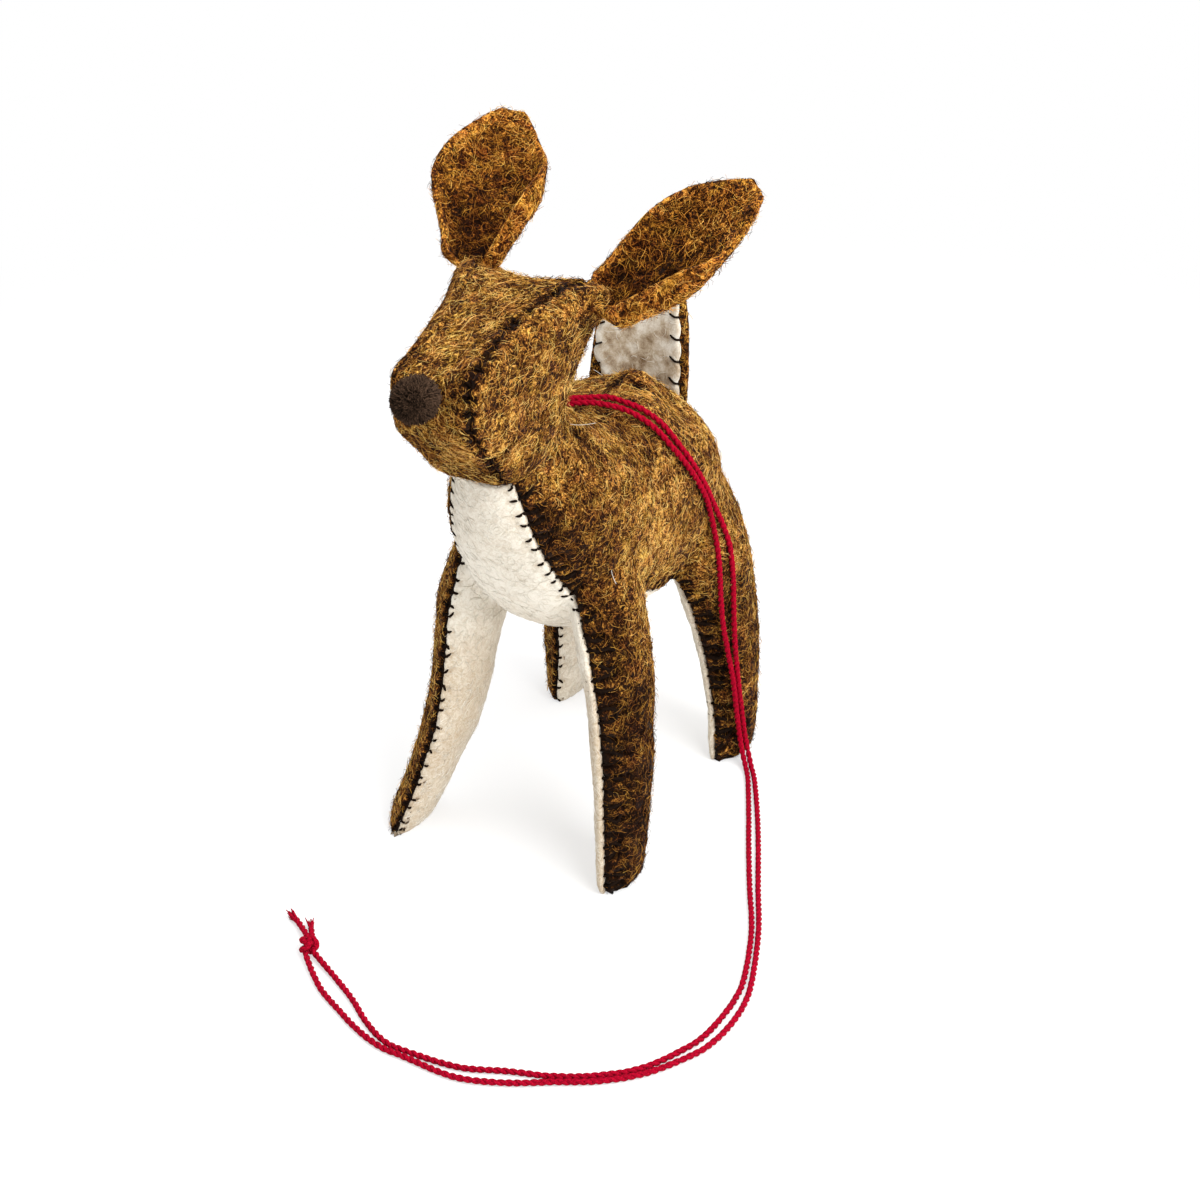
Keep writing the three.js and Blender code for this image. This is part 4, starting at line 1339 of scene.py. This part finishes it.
PLY_RADIUS = 0.32
PLY_OFFSET = 0.19
PLY_PITCH = 2.3
ROUTE_STEPS = 8
CORD_STEP = 0.2
UPPER_STRAND = [
    (-3.4, 0.7, 70.2), (-2.2, 1.9, 70.8), (-0.9, 3.4, 71.2), (0.6, 6.2, 70.6), (2.8, 8.7, 70.2),
    (5.7, 9.7, 69.5), (8.2, 10.8, 68.3), (10.8, 11.8, 66.2), (13.3, 12.4, 63.3), (15.3, 13.7, 59.7),
    (16.4, 16, 55.3), (16.7, 18.6, 50.9), (17.7, 20.1, 46.8), (19, 20.7, 42.4), (19.8, 20.7, 36.8),
    (20.2, 20.7, 30), (20.5, 21.1, 23.6), (21, 21.7, 17), (21.7, 22.2, 10.6), (22.4, 22.4, 5.6),
    (23.4, 22, 2.4), (24.8, 20.5, 0.8), (27, 17.3, 0.55), (31.4, 9.2, 0.55), (35.4, 1.2, 0.55),
    (39.9, -8.3, 0.55), (44.5, -17.8, 0.55), (48.3, -27.9, 0.55), (49.6, -33.1, 0.55),
    (49.8, -38.1, 0.55), (49.2, -42.6, 0.55), (47.8, -46.4, 0.55), (43.8, -52.7, 0.55),
    (38.8, -57.3, 0.55), (33.2, -60.7, 0.55), (27.5, -64.1, 0.55), (20.8, -66.6, 0.55),
    (12.7, -66.8, 0.55), (8.2, -66.8, 0.55), (3.5, -65.6, 0.55), (-1.3, -63.6, 0.55),
    (-6.4, -61.2, 0.6), (-11.7, -57.3, 0.95), (-12.7, -56.2, 1.3),
]
LOWER_STRAND = [
    (-2.2, 0.3, 70.2), (-0.9, 1.7, 70.6), (0.7, 3.1, 71.0), (2.7, 5.4, 70.5), (5.8, 7.5, 69.5),
    (8.4, 8.5, 68.3), (10.9, 9.7, 66.2), (13.2, 10.5, 63.5), (14.6, 11.8, 60.9), (15.8, 13.7, 57.4),
    (16.6, 15.9, 53.3), (16.7, 17.8, 49.2), (17.3, 18.6, 45), (18.1, 18.7, 40.4), (18.5, 18.8, 35),
    (18.9, 19.2, 29), (19.6, 20.1, 23), (20.5, 20.9, 16.8), (21.2, 21.3, 10.6), (21.9, 21.5, 5.6),
    (22.8, 21.1, 2.4), (24.1, 19.8, 0.8), (26, 16.8, 0.55), (30.2, 8.4, 0.55), (34.1, 0.3, 0.55),
    (38.7, -8.9, 0.55), (43.5, -18.2, 0.55), (47.1, -28.1, 0.55), (48, -33.1, 0.55), (48, -37.5, 0.55),
    (47.6, -41.8, 0.55), (46.4, -45.6, 0.55), (43, -51.9, 0.55), (38.2, -56.4, 0.55),
    (32.7, -59.7, 0.55), (26.7, -62, 0.55), (20.4, -64.7, 0.55), (12.8, -65.7, 0.55),
    (8.5, -65.7, 0.55), (3.9, -63.8, 0.55), (-0.7, -60.9, 0.55), (-5.4, -58.5, 0.6),
    (-10.8, -56.1, 0.95), (-12.2, -55.5, 1.3),
]
LONG_TAIL = [(-13.4, -54.4, 1.5), (-15.2, -53, 1.2), (-17.3, -51.6, 0.9), (-18.9, -50.7, 0.8)]
SHORT_TAIL = [(-13.1, -54.3, 1.5), (-14.3, -52.6, 1.2), (-15.5, -51.3, 0.9)]
KNOT_PLACE = np.array([-12.9, -55.3, 1.6])
KNOT_RADIUS = 1.2
KNOT_TURN = math.radians(30)
KNOT_POINTS = 140
KNOT_LOBES = 1.5
KNOT_MIDDLE = 0.62
KNOT_SWING = 0.38
KNOT_RISE = 0.62
FRAY_STRANDS = 18
FRAY_LENGTH = 3.0
FRAY_SPREAD = 0.95
FRAY_RADII = np.array([0.17, 0.17, 0.15, 0.13, 0.10, 0.06])
FRAY_ROOT = 0.5
FRAY_OPENING = 0.35
FRAY_FLARE = 1.5
# From the least to the most share of a filament's spread and length
SPREAD_SHARES = (0.2, 1)
FRAY_SHARES = (0.5, 1)
FRAY_SEED = 3


def plies(line):
    """Two lines wound round a line."""
    side, up = crosswise(line)
    turn = (2 * np.pi * run_along(line) / PLY_PITCH)[:, None]
    return [line + PLY_OFFSET * (np.cos(t) * side + np.sin(t) * up) for t in (turn, turn + np.pi)]


def frayed(line, rng):
    """Loose filaments that open out from the end of a line."""
    way = unit(line[-1] - line[-4])
    run = np.linspace(0, 1, len(FRAY_RADII))[:, None]
    opening = FRAY_OPENING + (1 - FRAY_OPENING) * run**FRAY_FLARE
    filaments = []
    for _ in range(FRAY_STRANDS):
        drift = rng.normal(size=3)
        drift = unit(drift - way * drift.dot(way)) * FRAY_SPREAD * rng.uniform(*SPREAD_SHARES)
        reach = FRAY_LENGTH * rng.uniform(*FRAY_SHARES) * run - FRAY_ROOT
        filaments.append(grounded(line[-1] + way * reach + drift * opening, FRAY_RADII))
    return filaments


def routed(points):
    return resample(spline(points, ROUTE_STEPS), CORD_STEP)


def add_cord(name, lines, radii, *nodes):
    points, faces = tubes(lines, radii)
    return add_piece(name, points, faces, CORD_RED, "body", "red_cord", *nodes)


def make_cord():
    turn = np.linspace(0, 4 * np.pi, KNOT_POINTS)
    wide = KNOT_RADIUS * (KNOT_MIDDLE + KNOT_SWING * np.cos(KNOT_LOBES * turn))
    rise = KNOT_RISE * KNOT_RADIUS * np.sin(KNOT_LOBES * turn)
    knot_line = np.stack([wide * np.cos(turn + KNOT_TURN), wide * np.sin(turn + KNOT_TURN), rise], axis=1)
    knot = add_cord("overhand_knot", plies(KNOT_PLACE + knot_line), PLY_RADIUS, "cord_knot")
    rng = np.random.default_rng(FRAY_SEED)
    ends, radii = [], []
    for route in (LONG_TAIL, SHORT_TAIL):
        line = routed(route)
        ends += plies(line) + frayed(line, rng)
        radii += [PLY_RADIUS, PLY_RADIUS] + [FRAY_RADII] * FRAY_STRANDS
    tails = add_cord("cord_tails", ends, radii, "cord_tail_long", "cord_tail_short")
    for name, route, pieces in (("strand_upper", UPPER_STRAND, [knot, tails]),
                                ("strand_lower", LOWER_STRAND, [])):
        line = routed(route)
        strand = add_cord(name, plies(line), PLY_RADIUS, "cord_" + name)


# Long loose hairs: where each starts, the way it leaves, the way it bends, and its length

HAIRS = [
    ((7.4, -10.5, 74.6), (0.9, 0.3, -0.1), (0.3, 0.2, 0.5), 3.2),
    ((-12.6, 31.3, 62.8), (0.9, -0.3, -0.05), (0, -0.2, -0.5), 5.5),
    ((13.3, -9, 52.1), (0.3, -0.3, -0.9), (0.4, 0, 0.2), 3.0),
]
HAIR_ROWS = 9
HAIR_RADIUS = 0.04
HAIR_OUT = (0.2, 0.3, 1.0)


def make_hairs():
    run = np.linspace(0, 1, HAIR_ROWS)[:, None]
    lines = []
    for start, way, bend, length in HAIRS:
        course = unit(np.array(way)) * run + np.array(bend) * run**2 / 2
        lines.append(np.array(start) + length * course)
    line = np.array(lines)
    out = np.broadcast_to(HAIR_OUT, line.shape)
    rings = fibre_rings(line, out, np.full(line.shape[:2], HAIR_RADIUS))
    fibre_object("loose_hairs", rings, np.ones(len(line)), CREAM_FIBRE, "body", "cream_felt")


# Stuffing, unseen inside the felt

WAD_VOXEL = 0.9
WAD_ROUNDS = 6
WAD_LUMPS = [(3, 0.5)]
WAD_SINK = 1.3


def make_stuffing():
    for node in [name for name in frame["nodes"] if name.startswith("stuffing")]:
        source = frame["nodes"][node].data
        points = np.array([v.co for v in source.vertices]) / MM - SHIFT
        co, tri = remeshed([(points, [tuple(p.vertices) for p in source.polygons])], WAD_VOXEL)
        co = smoothed(co, tri, WAD_ROUNDS)
        co = co + normals_of(co, tri) * (soft_noise(co, WAD_LUMPS) - WAD_SINK)[:, None]
        wad = add_piece("wad_" + node, co, tri.tolist(), STUFFING, "body", "stuffing", node)


# Floor, light and camera

CAMERA_AZIMUTH = math.radians(29.6)
CAMERA_ELEVATION = math.radians(30.7)
CAMERA_DISTANCE = 301.2
CAMERA_TARGET = (6.4, 0, 39.3)
CAMERA_LENS = 57
CAMERA_SENSOR = 36
CAMERA_CLIP = 0.01
FLOOR_REACH = 3000
FLOOR_WHITE = (0.93, 0.93, 0.93, 1)
# Where the floor starts and ends its turn to white, in metres from the middle, and its whiteness there
FLOOR_FADE = {1: 0.06, 2: 0.3, 3: 0.55, 4: 1.0}
SKY_STRENGTH = 0.62
# Each lamp: its place, its size in metres and its watts
LAMPS = {"key": ((310, -60, 350), 0.35, 2.4), "top": ((-40, 60, 460), 0.5, 1.6)}
LAMP_TARGET = (0, 0, 45)


def make_stage():
    corners = FLOOR_REACH * np.array([(-1, -1, 0), (1, -1, 0), (1, 1, 0), (-1, 1, 0)])
    floor = new_object("floor", corners - SHIFT, [(0, 1, 2, 3)])
    graph = Graph("floor_white", roughness=0.9, specular=0.12)
    graph.shader.inputs["Base Color"].default_value = FLOOR_WHITE
    glow = graph.add("ShaderNodeEmission", {"Color": (1, 1, 1, 1), "Strength": 1.0})[0]
    rays = graph.add("ShaderNodeLightPath")
    where = graph.add("ShaderNodeTexCoord")["Object"]
    away = graph.add("ShaderNodeVectorMath", {0: where}, operation="LENGTH")[1]
    fade = graph.add("ShaderNodeMapRange", {0: away, **FLOOR_FADE}, interpolation_type="SMOOTHSTEP")[0]
    through = graph.math("ADD", rays["Is Glossy Ray"], rays["Is Transmission Ray"])
    seen = graph.math("ADD", rays["Is Camera Ray"], through)
    share = graph.math("MULTIPLY", graph.math("MINIMUM", seen, 1), fade)
    mixed = graph.add("ShaderNodeMixShader", {0: share, 1: graph.shader.outputs[0], 2: glow})[0]
    graph.tree.links.new(mixed, graph.tree.nodes["Material Output"].inputs["Surface"])
    floor.data.materials.append(graph.material)

    world = bpy.data.worlds.new("studio")
    world.use_nodes = True
    sky = world.node_tree.nodes["Background"].inputs
    sky["Color"].default_value = (1, 1, 1, 1)
    sky["Strength"].default_value = SKY_STRENGTH
    bpy.context.scene.world = world
    for name, (at, size, watts) in LAMPS.items():
        lamp = bpy.data.lights.new(name, "AREA")
        lamp.shape = "DISK"
        lamp.size = size
        lamp.energy = watts
        obj = linked(name, lamp)
        obj.location = place(at)
        aim = Vector(place(LAMP_TARGET)) - obj.location
        obj.rotation_euler = aim.to_track_quat("-Z", "Y").to_euler()


def make_camera():
    level = math.cos(CAMERA_ELEVATION)
    back = Vector((math.sin(CAMERA_AZIMUTH) * level, -math.cos(CAMERA_AZIMUTH) * level,
                   math.sin(CAMERA_ELEVATION)))
    camera = bpy.data.cameras.new("camera")
    camera.lens = CAMERA_LENS
    camera.sensor_width = CAMERA_SENSOR
    camera.clip_start = CAMERA_CLIP
    obj = linked("camera", camera)
    obj.location = Vector(place(CAMERA_TARGET)) + back * CAMERA_DISTANCE * MM
    obj.rotation_euler = back.to_track_quat("Z", "Y").to_euler()
    bpy.context.scene.camera = obj


make_camera()
make_cord()
surfaces, skin = make_body()
make_ears(skin)
make_tail(skin)
make_nose()
make_stuffing()
make_hairs()
cover_panels(surfaces)
make_stage()
bpy.context.scene.view_settings.view_transform = "Standard"

bpy.context.view_layer.update()
